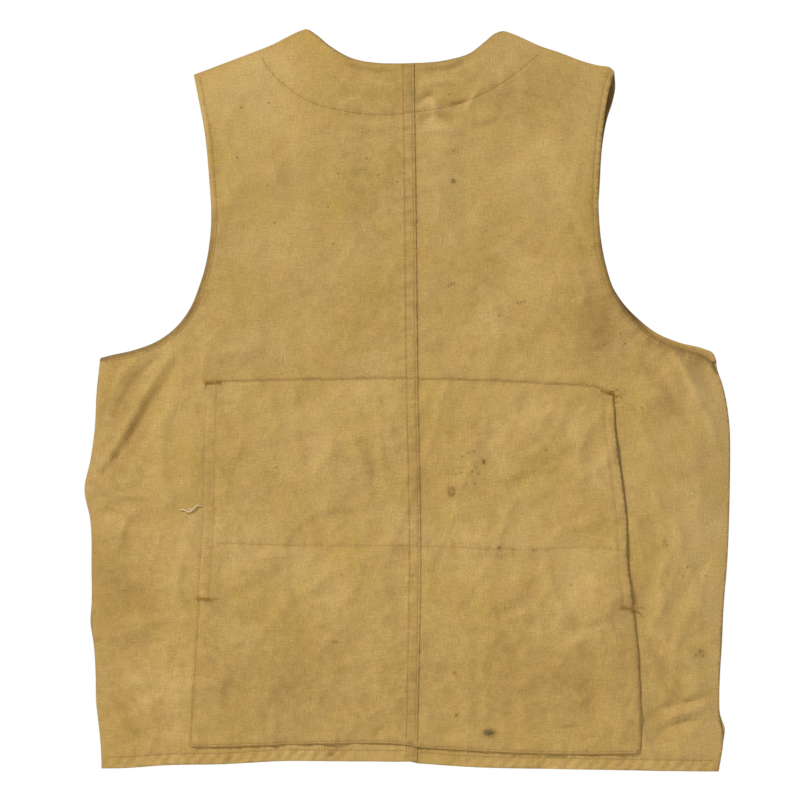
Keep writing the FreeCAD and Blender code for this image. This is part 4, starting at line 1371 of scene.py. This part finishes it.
def pouch_rise(x, z):
    """How far the pouch's face stands off the back: least at its sewn edges, more at its open sides."""
    top, _ = POUCH_TOP_LINE.measure(x, z, POUCH_DOME)
    foot, _ = POUCH_FOOT_LINE.measure(x, z, POUCH_DOME)
    slack = dome(top, POUCH_DOME) * dome(foot, POUCH_DOME)
    for side in SIDES:
        offset, _ = POUCH_LINES[side].measure(x, z, POUCH_DOME)
        tack_top, tack_foot = TACKS[side + "_top"][0][1], TACKS[side + "_foot"][0][1]
        opening = ease((tack_top - z) / 40) * ease((z - tack_foot) / 40)
        held = dome(offset, POUCH_DOME)
        slack = slack * (held + (1 - held) * OPEN_SIDE[side] * opening)
    return POUCH_SEWN + POUCH_SLACK * slack


def pouch_surface(side):
    edges = [POUCH_TOP_LINE, POUCH_FOOT_LINE] + list(POUCH_LINES.values())

    def surface(x, z):
        height, stain_and_shade, rub_and_light = relief(x, z, ALL_POUCH_ROWS, edges, 61 if side == "left" else 83, 0.28)
        height += soft_back(x, z) + pouch_rise(x, z)
        folds = folded(x, z, POUCH_FOLDS)
        height += 1.6 * folds + mixed(waves, x, z, (0.3, 30, 9), (0.3, 80, 15))
        height += mixed(creases, x, z, (1.0, 90, 19), (0.6, 46, 23), (0.3, 24, 37))
        from_seam = x - centre_at(z)
        seam_puckers = bell(from_seam, 5) * puckers(z, 47, 7.0)
        height += 0.42 * seam_puckers
        height, stain_and_shade, rub_and_light = felled(side, from_seam, height, stain_and_shade, rub_and_light)
        # A dark line along every edge of the pouch, fainter on the left's open stretch: seam dirt and
        # painted shade under the edge.
        is_open = (x > 100) & (np.abs(z - OPEN_MIDDLE) < OPEN_HALF)
        strength = np.where(is_open, OPEN_EDGE_DIRT_AND_SHADE, SEWN_EDGE_DIRT_AND_SHADE)
        for edge in edges:
            stain_and_shade = np.maximum(stain_and_shade, strength * bell(edge.measure(x, z, 3)[0], 0.85))
        # Fold valleys darker and crests paler: partly ingrained dirt and wear, partly painted shade and
        # painted highlight.
        tone_and_shading = patched(x, z, POUCH_PATCHES) + 0.2 * np.clip(-folds, 0, 2) - 0.12 * np.clip(folds, 0, 2)
        # Painted light and shade: paler on the centre seam's puckers, darker between them.
        tone_and_shading -= 0.14 * seam_puckers
        return np.column_stack([x, height, z]), stain_and_shade, rub_and_light, tone_and_shading

    return surface


def pouch_outline(side):
    sign = SIDES[side]
    lap = -SEAM_LAP if side == "left" else 2.0
    middle_top = np.interp(0, POUCH_TOP[::-1, 0], POUCH_TOP[::-1, 1])
    middle_foot = np.interp(0, POUCH_FOOT[::-1, 0], POUCH_FOOT[::-1, 1])
    seam = seam_row(lap, middle_top, middle_foot)
    top = POUCH_TOP[sign * POUCH_TOP[:, 0] > 9]
    foot = POUCH_FOOT[sign * POUCH_FOOT[:, 0] > 9]
    edge = on_side(side, POUCH_SIDES[side])[1:-1]
    if side == "left":
        return closed(top[::-1], edge, foot, seam[::-1])
    return closed(top, edge, foot[::-1], seam[::-1])


def make_pouch():
    surfaces = {side: pouch_surface(side) for side in SIDES}
    for side, sign in SIDES.items():
        spots = [spot for spot in POUCH_SPOTS if spot[0] * sign > 0]
        piece = cloth(
            "pouch_" + side, pouch_outline(side), surfaces[side], BACK, CLOTH,
            lines=ALL_POUCH_ROWS, spots=spots
        )
        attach(piece, "root")
        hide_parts("pouch_%s_half" % side)
    strong = [row for name, row in POUCH_ROWS.items() if name not in FAINT_ROWS]
    make_pouch_stitches("pouch_stitches", strong + POUCH_CENTRE_ROWS, surfaces, THREAD)
    faint = [POUCH_ROWS[name] for name in FAINT_ROWS]
    make_pouch_stitches("pouch_faint_stitches", faint, surfaces, PALE_THREAD)


def make_pouch_stitches(name, rows, surfaces, material):
    """Rows of stitches that may cross from one half of the pouch to the other."""
    bars = []
    for row in rows:
        middle = centre_at(row.points[:, 1]) - SEAM_LAP
        for side in SIDES:
            beyond = row.points[:, 0] > middle if side == "left" else row.points[:, 0] <= middle
            if beyond.sum() > 4:
                bars += stitched([Line(row.points[beyond])], surfaces[side], BACK)
    stitches = thread_mesh(name, bars, material)
    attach(stitches, "root")


LINING_HALF = 185.0
LINING_TOP = -470.0
LINING_FOOT = -648.0


def make_pouch_lining():
    """A cloth behind the lower half of the pouch, sewn to it along its top."""
    corners = np.array([
        (-LINING_HALF, LINING_FOOT), (LINING_HALF, LINING_FOOT),
        (LINING_HALF, LINING_TOP), (-LINING_HALF, LINING_TOP),
    ])

    def surface(x, z):
        zero = np.zeros(len(x))
        held = ease((z - LINING_TOP + 48) / 44)
        above = 0.95 + (pouch_rise(x, z) - CANVAS - 1.1) * held
        return np.column_stack([x, soft_back(x, z) + above, z]), zero, zero, plain_tone(x, z)

    piece = cloth("pouch_lining_cloth", closed(corners), surface, BACK, DRILL, LINING, step=5.0)
    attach(piece, "root")
    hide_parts("pouch_lining")


TACK_HALF_WIDTH = 1.5
TACK_PITCH = 1.25


def make_tacks():
    """Bar tacks at the ends of the pouch's side openings: close bars of thread over two long ones."""
    random = np.random.RandomState(5)
    up = np.array([0.0, 1.0, 0.0])
    bars = []
    for name, (outer, inner) in TACKS.items():
        surface = pouch_surface(name.split("_")[0])
        outer, inner = np.array(outer), np.array(inner)
        length = np.linalg.norm(inner - outer)
        along = (inner - outer) / length
        across = np.array([-along[1], along[0]])

        def placed(flat, lift):
            x, z = np.array([flat[0]]), np.array([flat[1]])
            return surface(x, z)[0][0] + (0, lift, 0)

        for offset in (-0.6, 0.6):
            start, end = (placed(point + across * offset, 0.3) for point in (outer, inner))
            bars.append((start, end, up, 0.4))
        for place in np.arange(0, length, TACK_PITCH):
            lean = random.uniform(-0.35, 0.35)
            low = outer + along * (place + lean) - across * (TACK_HALF_WIDTH + random.uniform(-0.3, 0.2))
            high = outer + along * (place - lean) + across * (TACK_HALF_WIDTH + random.uniform(-0.3, 0.2))
            bars.append((placed(low, 0.4), placed(high, random.uniform(0.6, 1.1)), up, 0.42))
    piece = thread_mesh("bar_tacks", bars, OCHRE)
    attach(piece, "root")
    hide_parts("pouch_bar_tacks")


# Loose threads: a material, a radius, then points across the cloth with a height above it.
LOOSE_THREADS = {
    "loose_thread": (CREAM, 0.55, (
        (209, -441.5, 0.5), (205, -440.8, 1.6), (200.6, -443.2, 1.2), (196.5, -440.6, 1.8),
        (192, -437.2, 1.2), (188.6, -437.6, 0.6),
    )),
    "loose_thread_branch": (CREAM, 0.34, (
        (201, -442.4, 0.8), (199, -439.6, 1.8), (196, -441.8, 1.1), (193.4, -440.0, 0.5),
    )),
    "frayed_end_top_a": (OCHRE, 0.34, (
        (-187, -335, 1.4), (-190.6, -333.6, 2.4), (-194.0, -335.8, 1.6), (-195.4, -338.8, 0.8),
    )),
    "frayed_end_top_b": (OCHRE, 0.32, (
        (-184, -332.6, 1.4), (-186.6, -329.4, 2.2), (-190, -329.6, 1.4), (-192.8, -331.4, 0.7),
    )),
    "frayed_end_top_c": (OCHRE, 0.3, ((-189, -337, 1.2), (-191.4, -340.6, 1.8), (-189.8, -343.4, 0.8))),
    "frayed_end_foot_a": (OCHRE, 0.34, (
        (-205, -531, 1.4), (-210.5, -533.4, 1.8), (-214.6, -538.0, 1.2), (-217.4, -540.2, 0.6),
    )),
    "frayed_end_foot_b": (OCHRE, 0.3, ((-206, -529.4, 1.4), (-211.5, -528.2, 2.0), (-215.4, -530.6, 0.8))),
    "frayed_end_left": (OCHRE, 0.3, ((178.6, -522.6, 1.2), (175.2, -521.2, 2.0), (171.8, -522.6, 0.8))),
}


def make_loose_threads():
    for name, (material, radius, points) in LOOSE_THREADS.items():
        path = curve(points, 0.6)
        side = "left" if path[0, 0] > 0 else "right"
        on_pouch = np.abs(path[:, 0]) < np.interp(
            -path[:, 1], -POUCH_SIDES[side][:, 1], POUCH_SIDES[side][:, 0]
        )
        base = soft_back(path[:, 0], path[:, 1]) + pouch_rise(path[:, 0], path[:, 1]) * on_pouch
        base = np.convolve(np.pad(base, 4, "edge"), np.ones(9) / 9, "valid")
        verts, faces = tube(np.column_stack([path[:, 0], base + path[:, 2], path[:, 1]]), radius)
        piece = new_mesh(name, verts, faces, material, {"rest": verts[:, [0, 2, 1]]})
        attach(piece, "root")


# ---------------------------------------------------------------- the fronts

FRONT_RISE = 15.0
FRONT_CROWN = 64.0
FRONT_EDGE = 5.0
VEE_FOOT = -232.0
VEE_BULGE = 18.7
PLACKET = 43.0
# Where a front's side bulges past the back: a height, a reach up and down, and how far.
FRONT_BULGES = {"left": ((-545, 14, 1.8), (-615, 30, 0.9)), "right": ((-641, 9, 2.8), (-560, 30, 1.0))}
FRONT_FOLDS = fold_lines((
    (((232, -292), (226, -330), (206, -370)), -1.2, 10),
    (((262, -310), (256, -350), (236, -400)), 1.2, 12),
    (((150, -70), (140, -120), (148, -170)), 0.8, 16),
    (((290, -440), (262, -450), (232, -440)), -1.0, 10),
    (((70, -380), (100, -400), (140, -392)), 0.7, 14),
))
BUTTON_HEIGHTS = tuple(-250.0 - 100.0 * k for k in range(5))
ROW_FOOT = -669.0
HOLE_MIDDLE = 20.0
HOLE_HALF = 8.5
HOLE_WIDTH = 0.9


def front_bulge(side, z):
    return sum(more * bell(z - middle, reach) for middle, reach, more in FRONT_BULGES[side])


def soft_front(side, x, z):
    """How far a front's face stands out, without seams."""
    rise = crown(x, z, FRONT_CROWN, front_bulge)
    slack = ease(rise * 3)
    height = EDGE_RISE + FRONT_RISE * rise
    height += slack * folded(SIDES[side] * x, z, FRONT_FOLDS)
    seed = 21 if side == "left" else 27
    return height + slack * (mixed(waves, x, z, (0.34, 90, seed), (0.15, 34, seed + 1)) - 0.3)


def vee(side):
    """The V neck, from the front edge up to the shoulder, for the wearer's left."""
    top = SHOULDERS[side][SHOULDERS[side][:, 0] > 92][0]
    return arc((FRONT_EDGE, VEE_FOOT), top, -VEE_BULGE)


def front_side_seam(side):
    """From the armhole down to the hem, bulging a little past the back."""
    line = SIDE_SEAMS[side]
    top = FRONT_ARMHOLES[side][-1, 1] - 1
    line = line[(line[:, 1] < top) & (line[:, 1] > HEMS[side][-1, 1] + 1)]
    return line + np.column_stack([front_bulge(side, line[:, 1]), 0 * line[:, 1]])


def front_outline(side):
    shoulder = SHOULDERS[side]
    shoulder = shoulder[shoulder[:, 0] > 94]
    hem = HEMS[side][::-1]
    hem = hem[hem[:, 0] > FRONT_EDGE + 1]
    foot = (FRONT_EDGE, hem[-1, 1] + 0.2)
    runs = (vee(side), shoulder, FRONT_ARMHOLES[side][1:], front_side_seam(side), hem, [foot])
    return closed(*(on_side(side, run) for run in runs))


def front_rows(side):
    """Rows of stitches: armhole, hem, side, shoulder, front edge, placket and V neck."""
    rows = {
        "armhole": shifted(FRONT_ARMHOLES[side], -BACK_ROW_INSET)[2:-3],
        "hem": shifted(HEMS[side], BACK_HEM_ROW)[2:-2],
        "side": shifted(front_side_seam(side), -5.0)[2:-2],
        "shoulder": shifted(SHOULDERS[side][SHOULDERS[side][:, 0] > 98], -4.0)[1:-3],
        "edge": respaced([(FRONT_EDGE + 2.6, VEE_FOOT), (FRONT_EDGE + 2.6, ROW_FOOT)], 3.0),
        "placket": np.vstack([
            respaced([(FRONT_EDGE + PLACKET, ROW_FOOT), (FRONT_EDGE + PLACKET, VEE_FOOT - 14)], 3.0),
            shifted(vee(side), -34.0)[6:-3],
        ]),
        "vee": shifted(vee(side), -2.6)[1:-2],
    }
    placket = rows["placket"]
    rows["placket"] = placket[placket[:, 1] < shoulder_at(side, placket[:, 0]) - 3]
    return {name: Line(on_side(side, row)) for name, row in rows.items()}


def slit_outline(height):
    """A buttonhole: a narrow opening with round ends."""
    turns = np.linspace(-math.pi / 2, math.pi / 2, 4)
    right = np.column_stack([HOLE_HALF + HOLE_WIDTH / 2 * np.cos(turns), HOLE_WIDTH / 2 * np.sin(turns)])
    left = -right
    top = respaced([right[-1], left[0]], 1.5)[1:-1]
    foot = respaced([left[-1], right[0]], 1.5)[1:-1]
    return np.vstack([right, top, left, foot]) + (HOLE_MIDDLE, height)


def front_surface(side, rows):
    edges = [
        Line(on_side(side, run)) for run in
        (FRONT_ARMHOLES[side], HEMS[side], vee(side), [(FRONT_EDGE, VEE_FOOT), (FRONT_EDGE, -673)])
    ]

    def surface(x, z):
        height, stain_and_shade, rub_and_light = relief(x, z, list(rows.values()), edges, 101 if side == "left" else 131, 0.25)
        height += soft_front(side, x, z)
        height += 0.25 * roping(x, z, side) * ease((np.abs(x) - 20) / 60)
        tone_and_shading = 0.10 + 0.11 * waves(x, z, 110, 51)
        return np.column_stack([x, -height, z]), stain_and_shade, rub_and_light, tone_and_shading

    return surface


def fold_zone(side, reach):
    """Two points across a front's fold line, the first on the side that stays still."""
    joint = JOINTS["front_%s_opening" % side]
    axis = Vector(joint["axis"]).normalized()
    across = axis.cross(Vector((0, 1, 0))).normalized()
    if across.x * SIDES[side] < 0:
        across.negate()
    middle = Vector(joint["pos_m"])
    return middle + across * reach * MM, middle - across * reach * MM


FOLD_REACH = 11.5


def bend_with_front(piece, side):
    start, end = fold_zone(side, FOLD_REACH)
    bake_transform(piece)


def front_facing_outline(side):
    """A strip along the front edge and the V neck, inside the front."""
    edge = vee(side)[:-6] + (0.3, 0)
    inner = shifted(vee(side), -37.0)[:-8]
    inner = inner[inner[:, 0] > FRONT_EDGE + PLACKET + 3]
    foot = -671.0
    strip = np.array([(FRONT_EDGE + PLACKET + 2.5, foot), (FRONT_EDGE + 0.3, foot)])
    return closed(*(on_side(side, run) for run in (edge, inner[::-1], strip)))


def make_fronts():
    for side in SIDES:
        rows = front_rows(side)
        surface = front_surface(side, rows)
        holes = [slit_outline(height) for height in BUTTON_HEIGHTS] if side == "left" else []
        piece = cloth(
            "front_" + side, front_outline(side), surface, FRONT, CLOTH, holes=holes,
            lines=list(rows.values()), step=3.2
        )
        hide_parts("front_%s_panel" % side, "front_%s_side" % side)
        bend_with_front(piece, side)
        facing = cloth(
            "front_facing_" + side, front_facing_outline(side), front_facing_surface(side), FRONT, CLOTH,
            holes=holes, step=4.0
        )
        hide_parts("front_%s_facing" % side)
        bend_with_front(facing, side)
        stitches = thread_mesh("front_stitches_" + side, stitched(rows.values(), surface, FRONT), THREAD)
        bend_with_front(stitches, side)
        if side == "left":
            make_buttonholes(surface)


def make_buttonholes(surface):
    """Close bars of thread all round each slit, and a bar across its ends."""
    up = np.array([0.0, -1.0, 0.0])
    bars = []
    for height in BUTTON_HEIGHTS:
        for x in np.arange(-HOLE_HALF, HOLE_HALF + 0.1, 0.8):
            for turn in (-1, 1):
                ends = np.array([(x, turn * 0.45), (x + 0.15, turn * 2.3)]) + (HOLE_MIDDLE, height)
                points = surface(ends[:, 0], ends[:, 1])[0] - (0, 0.35, 0)
                bars.append((points[0], points[1], up, 0.42))
        for turn in (-1, 1):
            for step in (0.0, 0.8):
                x = HOLE_MIDDLE + turn * (HOLE_HALF + 0.9 + step)
                ends = np.array([(x, height - 2.2), (x, height + 2.2)])
                points = surface(ends[:, 0], ends[:, 1])[0] - (0, 0.45, 0)
                bars.append((points[0], points[1], up, 0.45))
    piece = thread_mesh("buttonhole_stitches", bars, THREAD)
    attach(piece, "front_left")


# ---------------------------------------------------------------- buttons

BUTTON_RADIUS = 10.0
EYE_RADIUS = 1.1
EYE_OFFSET = 1.9


def circle(radius, count, centre):
    turns = np.arange(count) * 2 * math.pi / count
    return np.column_stack([centre[0] + radius * np.cos(turns), centre[1] + radius * np.sin(turns)])


def make_buttons():
    """Four-hole buttons with a round rim and a dished middle, and the thread that holds them."""
    low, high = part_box("front_buttons")
    middle_x = (low.x + high.x) / 2 / MM
    base_y = high.y / MM
    up = np.array([0.0, -1.0, 0.0])
    buttons, bars = [], []
    for index, middle_z in enumerate(BUTTON_HEIGHTS):
        centre = (middle_x, middle_z)

        def surface(x, z):
            radius = np.hypot(x - centre[0], z - centre[1])
            height = 2.0 + 0.9 * ease((radius - 5.0) / 1.6) - 1.5 * ease((radius - 8.3) / 1.7) ** 2
            zero = np.zeros(len(x))
            return np.column_stack([x, base_y - height, z]), zero, zero, zero

        eyes = [
            circle(EYE_RADIUS, 10, (centre[0] + a * EYE_OFFSET, centre[1] + b * EYE_OFFSET))
            for a in (-1, 1) for b in (-1, 1)
        ]
        buttons.append(cloth(
            "button_%d" % index, circle(BUTTON_RADIUS, 40, centre), surface, FRONT, HORN, 1.4,
            holes=eyes, step=0.8
        ))
        for lean in (-1, 1):
            level = base_y - 2.25 - 0.3 * (lean > 0)
            for beside in (-0.35, 0.35):
                start, end = (
                    np.array([centre[0] + reach, level, centre[1] + lean * reach + beside])
                    for reach in (-EYE_OFFSET, EYE_OFFSET)
                )
                bars.append((start, end, up, 0.42))
        for turn in np.arange(8) * math.pi / 4:
            x, z = centre[0] + 1.5 * math.cos(turn), centre[1] + 1.5 * math.sin(turn)
            foot, head = (np.array([x, base_y + along, z]) for along in (1.9, -0.9))
            bars.append((foot, head, np.array([1.0, 0, 0]), 0.62))
    piece = joined("buttons", buttons)
    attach(piece, "front_right")
    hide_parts("front_buttons")
    threads = thread_mesh("button_sewing", bars, THREAD)
    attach(threads, "front_right")
    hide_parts("button_threads")


# ---------------------------------------------------------------- pockets

POCKET_CORNER = 12.0


def rounded_foot(low_x, high_x, foot, mouth, radius=POCKET_CORNER):
    """From one end of the mouth, down, round the foot and up to its other end."""
    turns = np.linspace(0, math.pi / 2, 6)
    less, more = radius * np.cos(turns), radius * np.sin(turns)
    left = np.column_stack([low_x + radius - less, foot + radius - more])
    right = np.column_stack([high_x - radius + more, foot + radius - less])
    return np.vstack([[(low_x, mouth)], left, right, [(high_x, mouth)]])


def pocket_frame(kind, side):
    """A pocket's wall: its low and high x, foot, mouth and outer face, in millimetres."""
    low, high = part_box("%s_pocket_%s_wall" % (kind, side))
    return low.x / MM, high.x / MM, low.z / MM, high.z / MM, low.y / MM


def make_pocket(kind, side):
    body = "front_" + side
    low_x, high_x, foot, mouth, outer = pocket_frame(kind, side)
    path = rounded_foot(low_x, high_x, foot, mouth)
    border = Line(path)
    top = Line([(low_x, mouth), (high_x, mouth)])
    rows = [
        Line(rounded_foot(low_x + 2.2, high_x - 2.2, foot + 2.2, mouth - 1.0, 10.0)),
        Line([(low_x + 3, mouth - 2.0), (high_x - 3, mouth - 2.0)]),
        Line([(low_x + 3, mouth - 13.0), (high_x - 3, mouth - 13.0)]),
    ]
    seed = 200 + int(abs(low_x)) + (7 if side == "left" else 0)

    def wall(x, z):
        height, stain_and_shade, rub_and_light = relief(x, z, rows, [border, top], seed, 0.25)
        offset, _ = border.measure(x, z, 40)
        height += 1.3 * dome(offset, 40) - 0.9 * bell(offset, 2.5) + 0.25 * waves(x, z, 34, seed)
        tone_and_shading = 0.06 + 0.12 * waves(x, z, 60, seed + 1)
        return np.column_stack([x, outer - height, z]), stain_and_shade, rub_and_light, tone_and_shading

    piece = cloth(
        "%s_pocket_%s" % (kind, side), closed(path), wall, FRONT, CLOTH, lines=rows, step=2.8
    )
    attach(piece, body)
    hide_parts("%s_pocket_%s_wall" % (kind, side))
    make_gusset(kind, side, border, outer)
    bars = stitched(rows, wall, FRONT) + gusset_stitches(side, border)
    stitches = thread_mesh("%s_pocket_stitches_%s" % (kind, side), bars, THREAD)
    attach(stitches, body)


GUSSET_ROOT = -15.0
GUSSET_TUCK = 2.2


def make_gusset(kind, side, border, outer):
    """A strip round the pocket's sides and foot, tucked in along its middle."""
    depth = GUSSET_ROOT - outer - 0.6
    low_x, high_x, foot, mouth, _ = pocket_frame(kind, side)
    middle = np.array([(low_x + high_x) / 2, (GUSSET_ROOT + outer) / 2, (foot + mouth) / 2])
    known = np.arange(len(border.points))
    inward = -1 if shifted(border.points, 1.0)[0, 0] < low_x else 1

    def strip(along, out):
        tuck = 0.4 + GUSSET_TUCK * np.sin(math.pi * np.clip(out / depth, 0, 1))
        tuck += 0.3 * puckers(along, 71, 19)
        bent = shifted(border.points, inward)
        aside = bent - border.points
        x = np.interp(along, known, border.points[:, 0]) + tuck * np.interp(along, known, aside[:, 0])
        z = np.interp(along, known, border.points[:, 1]) + tuck * np.interp(along, known, aside[:, 1])
        zero = np.zeros(len(x))
        crease = bell(out - depth / 2, 1.2)
        seam = soft_front(side, x, z) - 0.6
        height = seam + (-outer - 0.6 - seam) * out / depth
        return np.column_stack([x, -height, z]), 0.3 * crease, zero, zero + 0.1

    corners = np.array([(0, 0), (border.length, 0), (border.length, depth), (0, depth)], float)
    outline = closed(corners)
    name = "%s_pocket_gusset_%s" % (kind, side)
    piece = cloth(name, outline, strip, middle, CLOTH, step=2.4)
    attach(piece, "front_" + side)
    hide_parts("%s_pocket_%s_gusset" % (kind, side))


def gusset_stitches(side, border):
    """The row that sews a gusset down, just outside the pocket."""
    outside = shifted(border.points, 1.6)
    if outside[0, 0] > border.points[0, 0]:
        outside = shifted(border.points, -1.6)

    def surface(x, z):
        return (np.column_stack([x, -soft_front(side, x, z) - 0.1, z]),)

    return stitched([Line(outside)], surface, FRONT)


# ---------------------------------------------------------------- flaps

FLAP_BAND = 7.0
FLAP_CORNER = 9.0
LINING_UNDER = 1.15
LINING_INSET = 0.8


def flap_profile(root, outer, length):
    """Side view of a flap, from its sewn band over the seam and the pocket's mouth to its lower edge."""
    stand = outer - root
    return curve([
        (root - 1.1, FLAP_BAND), (root - 1.5, 1.0), (root - 2.4, -1.2), (root + stand * 0.55, -8.5),
        (root + stand * 0.86, -15.5), (outer - 0.2, -24), (outer - 0.6, -length * 0.62),
        (outer + 0.5, -length),
    ], 0.8)


def make_flap(kind, side):
    body = "%s_flap_%s" % (kind, side)
    joint = JOINTS["%s_flap_%s_lift" % (kind, side)]
    low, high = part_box(body)
    low_x, high_x, foot, outer = low.x / MM, high.x / MM, low.z / MM, low.y / MM
    root, seam = joint["pos_m"][1] / MM, joint["pos_m"][2] / MM
    profile = flap_profile(root, outer, seam - foot)
    steps = np.concatenate([[0], np.cumsum(np.linalg.norm(np.diff(profile, axis=0), axis=1))])
    run = steps[-1]
    slope = np.gradient(profile, axis=0)
    slope /= np.linalg.norm(slope, axis=1)[:, None]
    half = (high_x - low_x) / 2
    middle = (high_x + low_x) / 2
    seed = 300 + int(abs(low_x))

    def outline(inset, top):
        line = rounded_foot(low_x + inset, high_x - inset, -run + inset, -top, FLAP_CORNER)
        return closed(line)

    def placed(x, down, under):
        """Points of the flap's face, or of a layer under it; down is measured from its top edge."""
        across = -np.interp(-down, steps, slope[:, 1])
        along = np.interp(-down, steps, slope[:, 0])
        y = np.interp(-down, steps, profile[:, 0]) + under * across
        z = np.interp(-down, steps, profile[:, 1]) + under * along + seam
        droop = ((x - middle) / half) ** 4 * ease((-down - 12) / 30)
        return np.column_stack([x, y + 0.9 * droop, z])

    rows = [
        Line(rounded_foot(low_x + 3, high_x - 3, -run + 3, -FLAP_BAND - 2, FLAP_CORNER - 2)),
        Line(rounded_foot(low_x + 8.5, high_x - 8.5, -run + 8.5, -FLAP_BAND - 2, FLAP_CORNER - 3)),
        Line([(low_x + 1.5, -1.8), (high_x - 1.5, -1.8)]),
        Line([(low_x + 1.5, -FLAP_BAND + 1.2), (high_x - 1.5, -FLAP_BAND + 1.2)]),
    ]
    edges = [Line(outline(0, 0), loop=True)]

    def face(x, down):
        height, stain_and_shade, rub_and_light = relief(x, down, rows, edges, seed, 0.22)
        loose = ease((-down - 12) / 20)
        inset, _ = edges[0].measure(x, down, 26)
        height += loose * (0.3 * waves(x, down, 40, seed) + 0.5 * dome(inset, 26))
        return placed(x, down, -height), stain_and_shade, rub_and_light, 0.04 + 0.12 * waves(x, down, 60, seed + 2)

    def under(x, down):
        zero = np.zeros(len(x))
        return placed(x, down, LINING_UNDER), zero, zero, 0.1 * waves(x, down, 30, seed + 4)

    piece = cloth(body + "_face", outline(0, 0), face, FRONT, CLOTH, lines=rows, step=2.6)
    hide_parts(body)
    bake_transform(piece)
    lining = cloth(
        body + "_under", outline(LINING_INSET, FLAP_BAND), under, FRONT, DRILL, LINING, step=3.0
    )
    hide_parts(body + "_lining")
    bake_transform(lining)
    stitches = thread_mesh(body + "_stitches", stitched(rows, face, FRONT), THREAD)
    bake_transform(stitches)
    make_snap(kind, side, body)


# A snap's cap in section: radius and height above the flap.
CAP_PROFILE = (
    (0.02, 0.55), (1.6, 0.55), (2.3, 0.75), (2.9, 1.45), (3.7, 1.85), (4.6, 1.8), (5.6, 1.45), (6.3, 0.85),
    (6.5, 0.35), (6.3, -0.1), (5.0, -0.2), (0.02, -0.2),
)


def make_snap(kind, side, body):
    name = "%s_snap_%s" % (kind, side)
    low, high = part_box(name + "_cap")
    centre = ((low.x + high.x) / 2 / MM, high.y / MM - 0.55, (low.z + high.z) / 2 / MM)
    cap = lathe(name + "_dome", CAP_PROFILE, centre, FRONT, BRASS)
    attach(cap, body)
    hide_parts(name + "_cap")
    for part in ("_socket", "_stud"):
        metal = frame["nodes"][name + part]
        for slot in metal.material_slots:
            slot.material = BRASS


# ---------------------------------------------------------------- everything in turn

make_back()
make_neck_facing()
make_pouch()
make_pouch_lining()
make_tacks()
make_loose_threads()
make_fronts()
make_arm_facings()
make_buttons()
for side in SIDES:
    for kind in ("chest", "lower"):
        make_pocket(kind, side)
        make_flap(kind, side)
